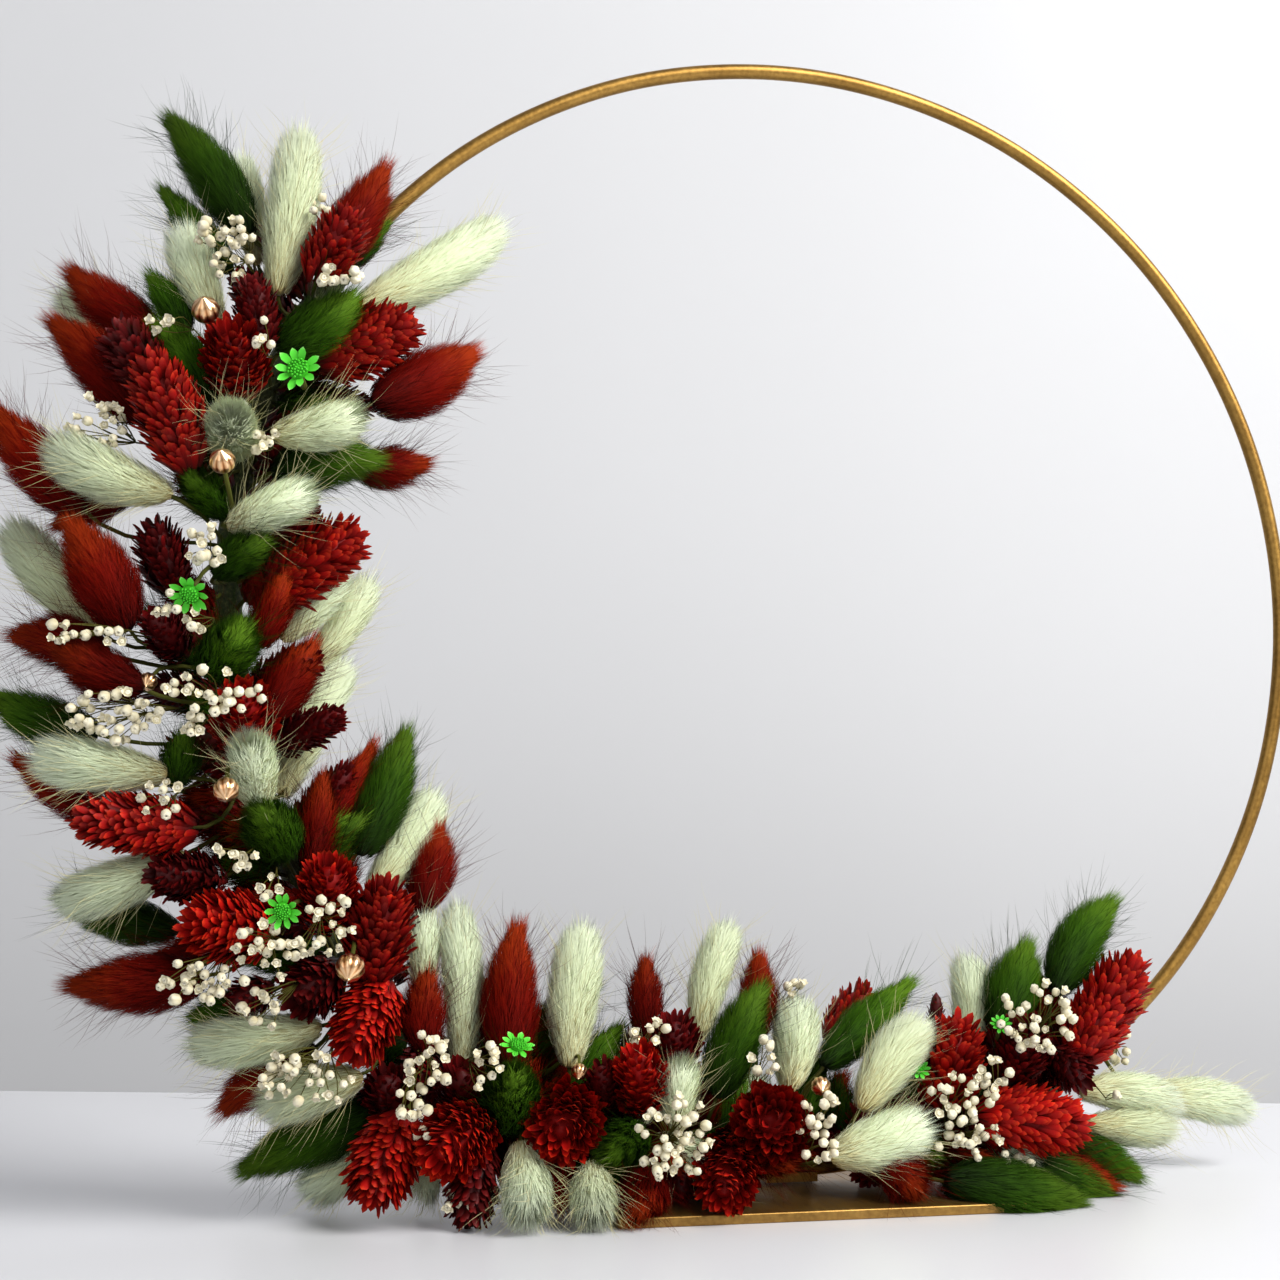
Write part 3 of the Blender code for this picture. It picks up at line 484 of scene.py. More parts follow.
def keep_inside(lines):
    """Bristles are cut back so that they stay near the CAD box."""
    low = np.array(CAD_BOX[0]) * 1000 - BOX_MARGIN
    high = np.array(CAD_BOX[1]) * 1000 + BOX_MARGIN
    return np.clip(lines, low, high)


def tail(shape, base, tip, radius, rng, density=1.0, outline=TAIL_OUTLINE, tufted=0.22):
    """The core ends short of the tip, and the last hairs reach it."""
    tip = tip - unit(tip - base) * 0.75 * radius
    at = spine(base, tip, rng)
    length = np.linalg.norm(tip - base)
    tone = rng.uniform(0.3, 0.7)
    # The core takes half the hairs' tone, so it is darker: painted shade under the hairs.
    lathe(shape, at, outline, radius, 0.62, 12, 10, tone * 0.5)
    fur(shape, at, radius, length, rng, tone, outline, tufted, density)
    awns(shape, at, radius, rng, tone)


def flame(shape, base, tip, radius, rng, density=1.0):
    """A dyed bunny tail, more pointed and more ragged than the pale ones."""
    tail(shape, base, tip, radius * 1.12, rng, density, FLAME_OUTLINE, 0.5)


def bracts(shape, at, radius, length, rng, tone):
    """Pointed keeled scales in a spiral, over the head of a canary grass."""
    count = int(np.clip(BRACTS_PER_MM2 * radius * length, 120, 400))
    order = (np.arange(count) + 0.5) / count
    shares = 1 - order ** 0.85 * 0.98
    points, ways = at(shares)
    angles = np.arange(count) * GOLDEN_ANGLE + rng.uniform(0, 6) + rng.normal(0, 0.16, count)
    spokes = spokes_round(ways[0], angles)
    outer = np.interp(shares, *zip(*HEAD_OUTLINE)) * radius
    lift = np.interp(shares, (0, 0.6, 0.9, 1), (26, 22, 16, 4)) + rng.normal(0, 6, count)
    lift = np.radians(lift)[:, None]
    way = unit(ways * np.cos(lift) + spokes * np.sin(lift))
    face = unit(spokes * np.cos(lift) - ways * np.sin(lift))
    across = unit(np.cross(way, face) + 0.2 * face * rng.normal(0, 1, (count, 1)))
    start = points + spokes * (outer * 0.66)[:, None] - ways * 2.4
    size = radius / 7.5
    long = (rng.uniform(4.8, 7.4, count) * size)[:, None]
    wide = (rng.uniform(1.5, 2.4, count) * size)[:, None]
    # Share of the length, of the width and of the keel's height, from base to tip.
    rows = ((0.0, 0.4, 0.0), (0.35, 0.85, 0.4), (0.65, 1.0, 0.5), (0.88, 0.74, 0.4), (1.0, 0.0, 0.2))
    # u runs from each scale's dark base to its light tip: partly the scales' own red, partly painted shade at
    # the bases and painted highlights on the tips.
    verts, u = [], []
    for share, part, keel in rows:
        curl = way * share + face * (0.13 * share**3)
        centre = start + curl * long
        lift_up = face * keel * wide * 0.55
        if part:
            half = across * wide / 2 * part
            verts += [centre - half, centre + lift_up, centre + half]
            u += [share] * 3
        else:
            verts.append(centre + lift_up * 0.5)
            u.append(share)
    verts = np.stack(verts, axis=1)
    per = verts.shape[1]
    faces = np.array(blade_faces())[None] + (np.arange(count) * per)[:, None, None]
    u = np.repeat(np.array(u)[None], count, axis=0)
    v = np.clip(tone + rng.normal(0, 0.16, count), 0.02, 0.98)
    v = np.repeat(v[:, None], per, axis=1)
    uv = np.stack((u, v), -1).reshape(-1, 2)
    shape.add(verts.reshape(-1, 3), faces.reshape(-1, 3), uv)


def canary(shape, base, tip, radius, rng):
    """The scaly head of a canary grass. Its last scales reach the tip."""
    tip = tip - unit(tip - base) * 0.3 * radius
    at = spine(base, tip, rng, 0.03)
    length = np.linalg.norm(tip - base)
    tone = rng.uniform(0.3, 0.7)
    lathe(shape, at, HEAD_OUTLINE, radius, 0.74, 14, 10, tone)
    bracts(shape, at, radius, max(length, 1.7 * radius), rng, tone)


def petals(shape, centre, way, count, start, long, wide, lift, rng, tone):
    """A ring of narrow pointed petals."""
    side, other = axes_of(way)
    for k in range(count):
        angle = 2 * math.pi * (k + rng.uniform(-0.15, 0.15)) / count
        spoke = side * math.cos(angle) + other * math.sin(angle)
        tilt = math.radians(lift + rng.normal(0, 7))
        run = spoke * math.cos(tilt) + way * math.sin(tilt)
        up = way * math.cos(tilt) - spoke * math.sin(tilt)
        across = np.cross(run, up)
        size = long * rng.uniform(0.88, 1.08)
        verts, u = [], []
        for share, part in ((0, 0.45), (0.35, 0.9), (0.65, 1.0), (0.85, 0.6)):
            middle = centre + spoke * start + run * size * share + up * 0.5 * share * (1 - share)
            half = across * wide / 2 * part
            verts += [middle - half, middle - up * 0.22 * part, middle + half]
            u += [0.25 + 0.6 * share] * 3
        verts.append(centre + spoke * start + run * size)
        u.append(1.0)
        uv = np.stack((u, np.full(len(u), tone)), -1)
        shape.add(np.array(verts), blade_faces(), uv)


def daisy(shape, base, tip, radius, rng):
    """Ten petals round a domed disc, with small florets in a spiral on it."""
    way = unit(tip - base)
    start, long, wide = radius * 0.36, radius * 0.68, radius * 0.34
    petals(shape, tip - way * 0.6, way, 10, start, long, wide, 16, rng, 0.85)
    at = spine(tip - way * radius * 0.75, tip + way * radius * 0.12, rng, 0.0)
    outline = ((0, 0.3), (0.5, 0.6), (0.8, 1), (0.95, 0.85), (1, 0.4))
    lathe(shape, at, outline, radius * 0.5, 1.0, 16, 8, 0.2)
    side, other = axes_of(way)
    florets = 34
    for k in range(florets):
        angle, far = k * 2.4, radius * 0.44 * math.sqrt((k + 0.5) / florets)
        seed = tip + way * (radius * 0.14 - far * 0.12) + side * far * math.cos(angle)
        seed = seed + other * far * math.sin(angle)
        line = spine(seed - way * 0.1 * radius, seed + way * 0.09 * radius, rng, 0.0)
        lathe(shape, line, ((0, 1), (0.6, 1), (1, 0.5)), radius * 0.06, 1.0, 5, 3, 0.95)


def pod(shape, base, tip, radius, rng):
    """A round ribbed pod with a short point."""
    way = unit(tip - base)
    side, other = axes_of(way)
    rows, sides = 18, 40
    verts, uv = [], []
    for row in range(rows + 1):
        share = row / rows
        polar = math.pi * share
        for k in range(sides):
            angle = 2 * math.pi * k / sides
            rib = 1 - 0.1 * math.sin(polar) * (0.5 + 0.5 * math.cos(10 * angle)) ** 2
            point = 0.32 * max(0.0, share - 0.86) / 0.14
            far = radius * math.sin(polar) * rib
            high = -radius * math.cos(polar) * 0.92 + radius * point
            spoke = side * math.cos(angle) + other * math.sin(angle)
            verts.append(tip + spoke * far + way * high)
            # The second uv value follows the rib's depth, for painted shade in the grooves and a painted
            # highlight on the crests.
            uv.append((share, 0.5 + 0.5 * (rib - 0.95) / 0.05))
    shape.add(np.array(verts), tube_faces(rows, sides), np.clip(uv, 0.02, 0.98))


def tube(shape, line, radius, sides, u, v):
    """A thin round stalk along some points."""
    line = np.asarray(line, float)
    ways = unit(np.gradient(line, axis=0))
    middle = ways[len(line) // 2]
    spokes = spokes_round(middle, np.linspace(0, 2 * math.pi, sides, endpoint=False))
    rings = line[:, None] + spokes[None] * radius
    faces = tube_faces(len(line) - 1, sides)
    last = (len(line) - 1) * sides
    for k in range(1, sides - 1):
        faces += [(0, k + 1, k), (last, last + k, last + k + 1)]
    uv = np.full((len(line) * sides, 2), (u, v), float)
    shape.add(rings.reshape(-1, 3), faces, uv, STALK_SLOT)


def curve(a, b, c, d, count):
    """Points of a Bezier curve."""
    t = np.linspace(0, 1, count)[:, None]
    return a * (1 - t) ** 3 + 3 * b * t * (1 - t) ** 2 + 3 * c * t**2 * (1 - t) + d * t**3


def bud(shape, place, way, size, rng):
    """A dried flower of baby's breath: ruffled petals over a small cup."""
    side, other = axes_of(way)
    if rng.random() < 0.4:
        petals(shape, place, way, 5, 0.2, size * 1.35, size * 1.1, 48, rng, 0.8)
        size = size * 0.72
    rows, sides = 7, 12
    turn, lobes = rng.uniform(0, 6), int(rng.integers(5, 7))
    verts, uv = [], []
    for row in range(rows + 1):
        share = row / rows
        polar = math.pi * share
        for k in range(sides):
            angle = 2 * math.pi * k / sides
            lobe = 1 + 0.13 * share * math.cos(lobes * angle + turn) + rng.normal(0, 0.05)
            far = size * math.sin(polar) ** 0.8 * lobe if 0 < row < rows else 0.0
            high = -size * math.cos(polar) * (1.1 + 0.12 * math.cos(lobes * angle + turn) * share)
            if row == rows:
                high = size * 0.65
            spoke = side * math.cos(angle) + other * math.sin(angle)
            verts.append(place + spoke * far + way * high)
            uv.append((0.35 + 0.6 * share, 0.5 + rng.uniform(-0.3, 0.3)))
    shape.add(np.array(verts), tube_faces(rows, sides), np.array(uv))


def outward(angle):
    """The direction from the hoop's centre at this angle."""
    return np.array((math.cos(angle), 0, math.sin(angle)))


def hoop_point(angle):
    """The middle of the rod at this angle."""
    return outward(angle) * HOOP_RADIUS + (0, 0, HOOP_CENTRE)


def hoop_angle(point):
    return math.atan2(point[2] - HOOP_CENTRE, point[0])


def spray(shape, x, z, front, half_wide, half_high, count, rng):
    """Buds on forked stalks that come from the hoop behind them."""
    centre = seat(x, z, front)
    root = hoop_point(hoop_angle(centre)) * 0.5 + centre * 0.5 + rng.normal(0, 1, 3)
    places = []
    for _ in range(600):
        spot = rng.uniform(-1, 1, 2)
        if len(places) >= 1.25 * count:
            break
        if spot @ spot > 1:
            continue
        depth = rng.uniform(-2.5, 2.5)
        place = centre + np.array((spot[0] * half_wide, depth, spot[1] * half_high))
        if all(np.linalg.norm(place - other) > BUD_SPACING for other in places):
            places.append(place)
    branching = centre * 0.45 + root * 0.55
    forks = [branching + rng.normal(0, 1.5, 3) for _ in range(max(1, count // 5))]
    for fork in forks:
        line = curve(root, root * 0.6 + fork * 0.4, fork * 0.7 + root * 0.3, fork, 5)
        tube(shape, line, 0.22, 4, 0.05, 0.4)
    for place in places:
        fork = forks[np.argmin([np.linalg.norm(place - other) for other in forks])]
        bend = (fork + place) / 2 + rng.normal(0, 0.8, 3)
        tube(shape, curve(fork, bend, bend, place, 5), 0.13, 4, 0.1, 0.5)
        way = unit(place - fork + rng.normal(0, 0.35, 3) * np.linalg.norm(place - fork))
        bud(shape, place, way, rng.uniform(0.95, 1.35), rng)


def stalk(shape, base, tip, rng):
    """The dry stem from the tape to the head."""
    angle = hoop_angle(base)
    start = hoop_point(angle + rng.uniform(-0.07, 0.07))
    start = start + unit(base - start) * 3.0
    way = unit(tip - base)
    reach = np.linalg.norm(base - start)
    leaving = start + unit(base - start) * 0.3 * reach
    line = curve(start, leaving, base - way * 0.4 * reach, base + way * 3, 7)
    tube(shape, line, 0.55, 6, 0.3, rng.uniform(0.2, 0.8))


def nodes_by_kind():
    """Each CAD flower node, by kind, with the middle of its box."""
    found = {}
    for kind, start in NODE_NAMES.items():
        for name in sorted(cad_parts):
            if name.startswith(start + "_"):
                low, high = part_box(name)
                found.setdefault(kind, []).append((name, np.array((low + high) / 2) * 1000))
    return found


def nearest_node(choices, place):
    """The name of the node whose middle is nearest to this place."""
    return min(choices, key=lambda choice: np.linalg.norm(choice[1] - place))[0]


def linear(part):
    """A colour part from 0 to 255 as Blender's shaders take it."""
    part = part / 255
    return part / 12.92 if part <= 0.04045 else ((part + 0.055) / 1.055) ** 2.4


def rgba(colour):
    return (*[linear(part) for part in colour], 1)


def ramp(tree, source, stops):
    """A colour ramp on a value. stops are (place, sRGB colour)."""
    node = tree.nodes.new("ShaderNodeValToRGB")
    elements = node.color_ramp.elements
    while len(elements) < len(stops):
        elements.new(0.5)
    for element, (place, colour) in zip(elements, stops):
        element.position = place
        element.color = rgba(colour)
    tree.links.new(source, node.inputs["Fac"])
    return node.outputs["Color"]


def multiplied(tree, first, second):
    """The product of two colours."""
    node = tree.nodes.new("ShaderNodeMix")
    node.data_type = "RGBA"
    node.blend_type = "MULTIPLY"
    node.inputs[MIX_FACTOR].default_value = 1.0
    tree.links.new(first, node.inputs[MIX_FIRST])
    tree.links.new(second, node.inputs[MIX_SECOND])
    return node.outputs[MIX_RESULT]


def uv_parts(tree):
    """The two values that each point carries: along the hair or scale, and its tone."""
    uv = tree.nodes.new("ShaderNodeUVMap")
    uv.uv_map = "OFBake"
    split = tree.nodes.new("ShaderNodeSeparateXYZ")
    tree.links.new(uv.outputs["UV"], split.inputs[0])
    return split.outputs["X"], split.outputs["Y"]


def noise(tree, vector, scale, detail):
    """The value of a noise texture."""
    node = tree.nodes.new("ShaderNodeTexNoise")
    node.inputs["Scale"].default_value = scale
    node.inputs["Detail"].default_value = detail
    tree.links.new(vector, node.inputs["Vector"])
    return node.outputs["Fac"]


def add_bump(tree, shader, height, strength, distance):
    bump = tree.nodes.new("ShaderNodeBump")
    bump.inputs["Strength"].default_value = strength
    bump.inputs["Distance"].default_value = distance
    tree.links.new(height, bump.inputs["Height"])
    tree.links.new(bump.outputs["Normal"], shader.inputs["Normal"])


def new_material(name, roughness, metallic=0.0, **constants):
    """A material with a Principled shader. constants name more of its sockets."""
    look = bpy.data.materials.new(name)
    look.use_nodes = True
    tree = look.node_tree
    shader = tree.nodes["Principled BSDF"]
    shader.inputs["Roughness"].default_value = roughness
    shader.inputs["Metallic"].default_value = metallic
    for socket, value in constants.items():
        shader.inputs[socket.replace("_", " ")].default_value = value
    return look, tree, shader


def plant_material(name, along, tones, roughness, sheen, tint=(255, 255, 255), gloss=0.12):
    """Colour runs along each hair or scale, and each has its own tone. On the furs and the scales the dark
    roots and light tips are partly their own colour, partly painted shade at the roots and painted light at
    the tips.
    """
    look, tree, shader = new_material(name, roughness, Sheen_Weight=sheen, Specular_IOR_Level=gloss)
    shader.inputs["Sheen Tint"].default_value = rgba(tint)
    place, tone = uv_parts(tree)
    colour = multiplied(tree, ramp(tree, place, along), ramp(tree, tone, tones))
    tree.links.new(colour, shader.inputs["Base Color"])
    return look


DEEP_TONES = ((0.0, (120, 112, 112)), (0.5, (195, 192, 192)), (1.0, (255, 255, 255)))


def plant_looks():
    """One material for each kind of flower, and one for the stalks."""
    looks = {
        # The fur ramps run from dark roots to light tips: partly the dye, partly painted shade at the roots
        # and painted light at the tips.
        "pale": plant_material(
            "pale_fur",
            ((0.0, (176, 154, 96)), (0.2, (212, 206, 156)), (0.45, (228, 240, 202)), (1.0, (240, 252, 226))),
            ((0.0, (215, 210, 190)), (0.5, (246, 246, 240)), (1.0, (255, 255, 255))),
            0.75, 0.3,
        ),
        "green": plant_material(
            "green_fur",
            ((0.0, (14, 26, 2)), (0.3, (36, 68, 5)), (0.6, (66, 112, 12)), (1.0, (128, 172, 44))),
            DEEP_TONES, 0.65, 0.02, (210, 255, 150), gloss=0.06,
        ),
        "red": plant_material(
            "red_fur",
            ((0.0, (50, 1, 0)), (0.3, (106, 7, 1)), (0.6, (148, 20, 3)), (1.0, (218, 80, 26))),
            DEEP_TONES, 0.65, 0.0, gloss=0.05,
        ),
        # The scale ramps run from dark bases to light tips: partly the red itself, partly painted shade at
        # the bases and painted highlights on the tips.
        "canary": plant_material(
            "red_bracts",
            ((0.0, (88, 1, 2)), (0.45, (148, 6, 5)), (0.8, (190, 16, 8)), (1.0, (232, 60, 24))),
            DEEP_TONES, 0.55, 0.0, gloss=0.15,
        ),
        "maroon": plant_material(
            "maroon_bracts",
            ((0.0, (44, 2, 3)), (0.45, (92, 5, 8)), (0.8, (116, 8, 11)), (1.0, (146, 24, 20))),
            DEEP_TONES, 0.5, 0.0, gloss=0.2,
        ),
        "daisy": plant_material(
            "green_petals",
            ((0.0, (40, 120, 20)), (0.3, (74, 190, 44)), (0.7, (92, 214, 66)), (1.0, (170, 236, 140))),
            ((0.0, (120, 175, 70)), (0.5, (225, 238, 200)), (1.0, (255, 255, 255))), 0.5, 0.02,
        ),
        "spray": plant_material(
            "cream_petals",
            ((0.0, (172, 158, 112)), (0.4, (206, 196, 160)), (0.75, (234, 228, 204)), (1.0, (250, 246, 230))),
            ((0.0, (205, 198, 182)), (0.5, (240, 238, 230)), (1.0, (255, 255, 255))), 0.7, 0.1,
        ),
        "stalk": plant_material(
            "dry_stalk",
            ((0.0, (112, 104, 52)), (0.3, (92, 96, 44)), (1.0, (180, 168, 110))),
            ((0.0, (130, 110, 80)), (0.5, (205, 205, 180)), (1.0, (255, 250, 220))), 0.6, 0.0,
        ),
    }
    looks["pod"] = pod_look()
    return looks


def pod_look():
    """Copper-gold lacquer, darker in the grooves between the ribs and lighter on their crests: painted shade
    in the grooves, painted highlight on the crests.
    """
    look, tree, shader = new_material("gold_pod", 0.28, 1.0)
    rib = uv_parts(tree)[1]
    stops = ((0.0, (120, 66, 34)), (0.5, (206, 150, 100)), (1.0, (246, 206, 160)))
    tree.links.new(ramp(tree, rib, stops), shader.inputs["Base Color"])
    return look


def metal_look(name, light, dark, roughness, brushed):
    """Satin gold lacquer: faint streaks, small scuffs and uneven sheen."""
    look, tree, shader = new_material(name, roughness, 0.9, Coat_Weight=0.12, Coat_Roughness=0.3)
    place = tree.nodes.new("ShaderNodeTexCoord")
    scale = tree.nodes.new("ShaderNodeMapping")
    scale.inputs["Scale"].default_value = brushed
    tree.links.new(place.outputs["Object"], scale.inputs["Vector"])
    streak = noise(tree, scale.outputs["Vector"], 900, 4)
    cloud = noise(tree, place.outputs["Object"], 45, 6)
    worn = ramp(tree, cloud, ((0.3, dark), (0.65, light)))
    fine = ramp(tree, streak, ((0.3, (215, 210, 200)), (0.7, (255, 255, 255))))
    tree.links.new(multiplied(tree, worn, fine), shader.inputs["Base Color"])
    rough = tree.nodes.new("ShaderNodeMapRange")
    rough.inputs["To Min"].default_value = roughness - 0.06
    rough.inputs["To Max"].default_value = roughness + 0.1
    tree.links.new(streak, rough.inputs["Value"])
    tree.links.new(rough.outputs["Result"], shader.inputs["Roughness"])
    add_bump(tree, shader, streak, 0.06, 0.0002)
    return look


def tape_look():
    """Crinkled waxy floral tape, dark olive."""
    look, tree, shader = new_material("crepe_tape", 0.8)
    place = tree.nodes.new("ShaderNodeTexCoord")
    crease = noise(tree, place.outputs["Object"], 1100, 6)
    stops = ((0.3, (34, 40, 18)), (0.55, (62, 70, 34)), (0.75, (98, 102, 58)))
    tree.links.new(ramp(tree, crease, stops), shader.inputs["Base Color"])
    add_bump(tree, shader, crease, 0.6, 0.0003)
    return look


MAKERS = {
    "pale": tail, "green": flame, "red": flame, "canary": canary,
    "maroon": canary, "daisy": daisy, "pod": pod,
}
FURRED = ("pale", "green", "red")


def make_flowers(looks):
    """One piece for each CAD flower node, with every flower of its kind nearest to it."""
    nodes = nodes_by_kind()
    deep = deep_flowers()
    pale = along_heads([(seat(*row[:3]), seat(*row[3:6]), row[6]) for row in FLOWERS["pale"]])
    for kind, typed in FLOWERS.items():
        groups = {}
        for number, (base, tip, radius) in enumerate(clear_of_others(deep.get(kind, ()), pale)):
            node = nearest_node(nodes[kind], (base + tip) / 2)
            groups.setdefault(node, []).append((fill_number(number), base, tip, radius))
        for number, row in enumerate(typed):
            base, tip = seat(*row[:3]), seat(*row[3:6])
            node = nearest_node(nodes[kind], (base + tip) / 2)
            groups.setdefault(node, []).append((number, base, tip, row[6]))
        finish_group(kind, nodes[kind], groups, looks)


def fill_number(number):
    """Fill heads have negative numbers, so that no seed is used twice."""
    return -number - 1


def along_heads(rows):
    """Five places along each head, and its radius."""
    shares = np.linspace(0, 1, 5)[:, None]
    return [(base + (tip - base) * shares, radius) for base, tip, radius in rows]


def clear_of_others(rows, others):
    """The heads that don't reach into the named ones."""
    kept = []
    for row, (places, radius) in zip(rows, along_heads(rows)):
        reach = min(
            np.linalg.norm(places[:, None] - line[None], axis=2).min() - wide
            for line, wide in others
        )
        if reach > FILL_CLEARANCE * radius:
            kept.append(row)
    return kept


def low_flowers(rows, rng):
    """Heads that lie over the plate from under the hoop and hide most of it."""
    for number in range(LOW_COUNT):
        share = (number + 0.5) / LOW_COUNT
        x = LOW_ROW[0] + (LOW_ROW[1] - LOW_ROW[0]) * share
        kind = ("red", "maroon", "pale", "red", "green", "maroon")[number % 6]
        back = number % 2
        base = np.array((x - 6, -8.0 + 12 * back, 15.0))
        tip = np.array((x + rng.uniform(-2, 8), -30.0 + 14 * back, 10.0 + rng.uniform(0, 4)))
        rows[kind].append((base, tip, rng.uniform(4.5, 6.0)))


def rising_flowers(rows, rng):
    """Heads that stand up from the bottom of the hoop, behind the long ones."""
    for number, degrees in enumerate(np.arange(*RISE_SPAN, RISE_STEP)):
        kind = ("green", "maroon", "red", "green", "maroon", "pale")[number % 6]
        angle = math.radians(degrees)
        out = outward(angle)
        base = hoop_point(angle) - out * 3 + np.array((0, rng.uniform(-9, 2), 0))
        tip = base - out * rng.uniform(20, 30)
        tip = tip + np.array((rng.uniform(-5, 9), rng.uniform(-7, 1), 0))
        rows[kind].append((base, tip, rng.uniform(4.8, 6.2)))


def deep_flowers():
    """Short dark heads close to the tape, which fill the shade between the others."""
    rng = np.random.default_rng(FILL_SEED)
    rows = {"maroon": [], "green": [], "red": [], "pale": []}
    low_flowers(rows, rng)
    rising_flowers(rows, rng)
    for start, stop in FILL_SPANS:
        for degrees in np.arange(start, stop, FILL_STEP):
            for side in (-1, 1):
                kind = ("maroon", "green", "red", "maroon")[int(rng.integers(4))]
                angle = math.radians(degrees + rng.uniform(-1, 1))
                out = outward(angle)
                along = np.array((out[2], 0, -out[0]))
                way = out * side * rng.uniform(0.5, 1.1) + along * rng.uniform(0.1, 0.8)
                way = unit(way + np.array((0, -rng.uniform(0.25, 0.9), 0)))
                base = hoop_point(angle) + out * side * 4 + np.array((0, -5.0, 0))
                base[2] = max(base[2], 8)
                tip = base + way * rng.uniform(13, 27)
                tip[2] = max(tip[2], 7)
                rows[kind].append((base, tip, rng.uniform(4.6, 6.2)))
    return rows


def finish_group(kind, nodes, groups, looks):
    """The pieces of one kind. The first also stands for the nodes that hold no head."""
    first_seed = KIND_SEED * (1 + list(FLOWERS).index(kind))
    spare = [name for name, _ in nodes if name not in groups]
    for node, members in sorted(groups.items()):
        shape = Shape()
        for number, base, tip, radius in members:
            rng = np.random.default_rng(first_seed + number)
            more = {"density": FILL_DENSITY} if number < 0 and kind in FURRED else {}
            MAKERS[kind](shape, base, tip, radius, rng, **more)
            stalk(shape, base, tip, rng)
        piece = shape.build("dried_" + node, [looks[kind], looks["stalk"]])
        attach(piece, "root")
        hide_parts(node)
        if spare:
            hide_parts(*spare)
            spare = []


def make_sprays(looks):
    """One piece for each CAD node of baby's breath, with the sprays nearest to it."""
    nodes = nodes_by_kind()["spray"]
    groups = {}
    for number, row in enumerate(SPRAYS):
        node = nearest_node(nodes, seat(*row[:3]))
        groups.setdefault(node, []).append((number, row))
    spare = [name for name, _ in nodes if name not in groups]
    for node, members in sorted(groups.items()):
        shape = Shape()
        for number, row in members:
            spray(shape, *row, np.random.default_rng(SPRAY_SEED + number))
        piece = shape.build("dried_" + node, [looks["spray"], looks["stalk"]])
        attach(piece, "root")
        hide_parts(node, *spare)
        spare = []


def make_hoop():
    """The bent rod, a little uneven as a hand-bent ring is."""
    shape = Shape()
    rows, sides = 360, 20
    angles = np.linspace(0, 2 * math.pi, rows, endpoint=False)
    verts, uv = [], []
    for angle in angles:
        out = outward(angle)
        wave = 0.04 * math.sin(7 * angle) + 0.03 * math.sin(17 * angle + 1)
        for k in range(sides):
            turn = 2 * math.pi * k / sides
            far = HOOP_RADIUS + wave + ROD_RADIUS * math.cos(turn)
            verts.append(out * far + (0, ROD_RADIUS * math.sin(turn), HOOP_CENTRE))
            uv.append((angle / 6.29, k / sides))
    faces = []
    for row in range(rows):
        for k in range(sides):
            a, b = row * sides + k, row * sides + (k + 1) % sides
            c, d = (a + sides) % (rows * sides), (b + sides) % (rows * sides)
            faces += [(a, c, d), (a, d, b)]
    shape.add(np.array(verts), faces, np.array(uv))
    return shape


def rise(edge):
    return abs(edge.verts[0].co.z - edge.verts[1].co.z)


def turns_down(edge):
    """True where a level face meets an upright one."""
    if len(edge.link_faces) != 2:
        return False
    first, second = (face.normal.z for face in edge.link_faces)
    return first * second == 0 or abs(abs(first) - abs(second)) > 0.5


def rounded_box(low, high, radius):
    """A box with rounded upright edges and a fine round on its other edges."""
    mesh = bpy.data.meshes.new("box")
    work = bmesh.new()
    bmesh.ops.create_cube(work, size=1)
    middle, size = (Vector(low) + Vector(high)) / 2, Vector(high) - Vector(low)
    for vert in work.verts:
        vert.co = Vector(a * b for a, b in zip(vert.co, size)) + middle
    upright = [edge for edge in work.edges if rise(edge) > 1e-6]
    bmesh.ops.bevel(work, geom=upright, offset=radius, segments=5, affect="EDGES", profile=0.5)
    rim = [edge for edge in work.edges if rise(edge) < 1e-7 and turns_down(edge)]
    bmesh.ops.bevel(work, geom=rim, offset=0.0004, segments=3, affect="EDGES", profile=0.5)
    work.to_mesh(mesh)
    work.free()
    return mesh


def add_mesh_piece(name, mesh, look, node):
    """A smooth-shaded piece with sharp edges kept, in place of this node."""
    mesh.materials.append(look)
    piece = bpy.data.objects.new(name, mesh)
    bpy.context.scene.collection.objects.link(piece)
    mesh.shade_smooth()
    mesh.set_sharp_from_angle(angle=math.radians(40))
    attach(piece, "root")
    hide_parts(node)


def make_metal():
    """The hoop, the plate, and the weld, which is the CAD mesh itself."""
    gold = metal_look("satin_gold", (172, 134, 66), (144, 108, 48), 0.38, (1, 1, 1))
    plate_gold = metal_look("satin_gold_plate", (172, 134, 70), (148, 112, 54), 0.38, (1, 0.12, 1))
    hoop = make_hoop().build("gold_hoop", [gold])
    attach(hoop, "root")
    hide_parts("hoop")
    plate = rounded_box(PLATE[0], PLATE[1], 0.0012)
    add_mesh_piece("gold_base_plate", plate, plate_gold, "base_plate")
    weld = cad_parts["hoop_weld"]
    weld.data.materials.clear()
    weld.data.materials.append(gold)


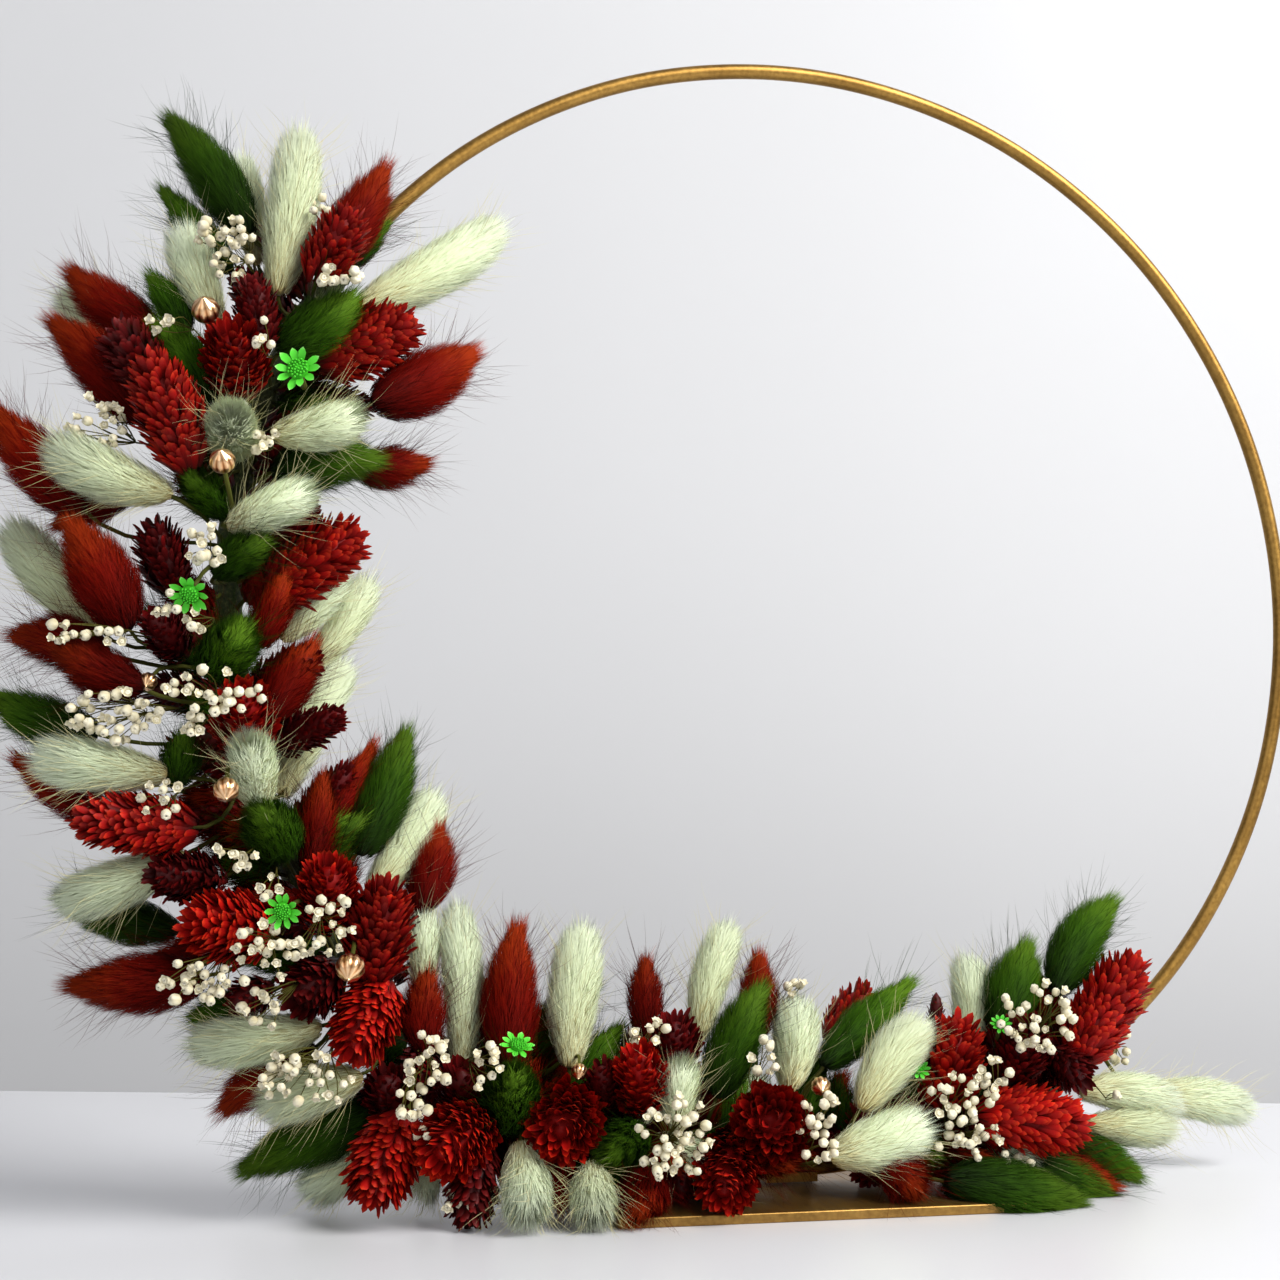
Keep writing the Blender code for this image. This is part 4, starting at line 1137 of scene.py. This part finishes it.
def make_tape():
    """Spiral turns of tape over the hoop and the stem ends."""
    look = tape_look()
    for node in ("stem_tape_left", "stem_tape_right"):
        low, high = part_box(node)
        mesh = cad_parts[node].data
        spots = np.array([vert.co for vert in mesh.vertices]) * 1000
        angles = np.unwrap(np.sort(np.arctan2(spots[:, 2] - HOOP_CENTRE, spots[:, 0]) % (2 * math.pi)))
        start, stop = angles[0], angles[-1]
        rows, sides = int((stop - start) * HOOP_RADIUS / TAPE_STEP), 22
        shape = Shape()
        verts, uv = [], []
        for row in range(rows + 1):
            angle = start + (stop - start) * row / rows
            out = outward(angle)
            along = row * TAPE_STEP
            ends = min(1.0, 0.62 + 0.4 * min(row, rows - row) / 4)
            for k in range(sides):
                turn = 2 * math.pi * k / sides
                wind = (along / TAPE_TURN + k / sides) % 1.0
                ridge = 0.35 * wind + 0.25 * math.sin(5 * turn + along * 0.11) ** 2
                radius = (TAPE_RADIUS + ridge) * ends
                far = HOOP_RADIUS + radius * math.cos(turn)
                verts.append(out * far + (0, radius * math.sin(turn), HOOP_CENTRE))
                uv.append((row / rows, k / sides))
        faces = np.array(tube_faces(rows, sides))[:, ::-1]
        shape.add(np.array(verts), faces, np.array(uv))
        piece = shape.build("wound_" + node, [look])
        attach(piece, "root")
        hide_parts(node)


def stage_material(name, colour, roughness):
    """A nearly even colour."""
    look, tree, shader = new_material(name, roughness)
    place = tree.nodes.new("ShaderNodeTexCoord")
    cloud = noise(tree, place.outputs["Object"], 3, 2)
    darker = tuple(int(part * 0.985) for part in colour)
    tree.links.new(ramp(tree, cloud, ((0.3, darker), (0.7, colour))), shader.inputs["Base Color"])
    return look


def make_stage():
    """A pale table with its far edge behind the hoop, and a pale wall."""
    edge, wall = 0.169, 0.34
    sheets = (
        ("stage_table", 1.8, (-1.6, 0), (edge, 0), (214, 215, 219), 0.35),
        ("stage_wall", 2.4, (wall, -0.4), (wall, 1.9), (205, 206, 208), 0.85),
        ("stage_drop", 1.8, (edge, -0.4), (edge, 0), (150, 148, 152), 0.7),
    )
    for name, half, first, last, colour, roughness in sheets:
        corners = ((-half, *first), (half, *first), (half, *last), (-half, *last))
        mesh = bpy.data.meshes.new(name)
        work = bmesh.new()
        work.faces.new([work.verts.new(corner) for corner in corners])
        work.to_mesh(mesh)
        work.free()
        mesh.materials.append(stage_material(name, colour, roughness))
        sheet = bpy.data.objects.new(name, mesh)
        sheet.rotation_euler.z = -HEADING
        bpy.context.scene.collection.objects.link(sheet)


def add_area(name, place, target, size, power, colour):
    """A rectangular lamp that faces its target."""
    lamp = bpy.data.lights.new(name, "AREA")
    lamp.shape = "RECTANGLE"
    lamp.size, lamp.size_y = size
    lamp.energy = power
    lamp.color = colour
    thing = bpy.data.objects.new(name, lamp)
    thing.location = place
    way = Vector(target) - Vector(place)
    thing.rotation_euler = way.to_track_quat("-Z", "Y").to_euler()
    bpy.context.scene.collection.objects.link(thing)


def make_light():
    """A window at the right, a soft room light at the left, and a dim sky."""
    world = bpy.data.worlds.new("soft_sky")
    bpy.context.scene.world = world
    world.use_nodes = True
    back = world.node_tree.nodes["Background"]
    back.inputs["Color"].default_value = (0.90, 0.90, 0.93, 1)
    back.inputs["Strength"].default_value = 0.32
    add_area("window", (0.62, -0.78, 0.88), (-0.05, 0, 0.12), (0.8, 0.8), 25, (1.0, 0.985, 0.96))
    add_area("room", (-0.9, -1.1, 0.7), (-0.05, 0, 0.15), (1.2, 1.2), 5.5, (0.95, 0.96, 1.0))
    bpy.context.scene.view_settings.view_transform = "Standard"


def make_camera():
    """The photo's camera, from EYE, HEADING, PITCH and ROLL."""
    cos, sin = math.cos, math.sin
    ahead = Vector((sin(HEADING) * cos(PITCH), cos(HEADING) * cos(PITCH), sin(PITCH)))
    right = Vector((cos(HEADING), -sin(HEADING), 0))
    up = right.cross(ahead)
    tilted = right * cos(ROLL) + up * sin(ROLL)
    upright = up * cos(ROLL) - right * sin(ROLL)
    lens = bpy.data.cameras.new("camera")
    lens.lens = LENS
    lens.sensor_width = SENSOR
    lens.clip_start = 0.01
    camera = bpy.data.objects.new("camera", lens)
    turn = Matrix((tilted, upright, -ahead)).transposed()
    camera.matrix_world = Matrix.Translation(Vector(EYE) * 0.001) @ turn.to_4x4()
    bpy.context.scene.collection.objects.link(camera)
    bpy.context.scene.camera = camera


make_camera()
make_light()
make_stage()
make_metal()
make_tape()
LOOKS = plant_looks()
make_flowers(LOOKS)
make_sprays(LOOKS)
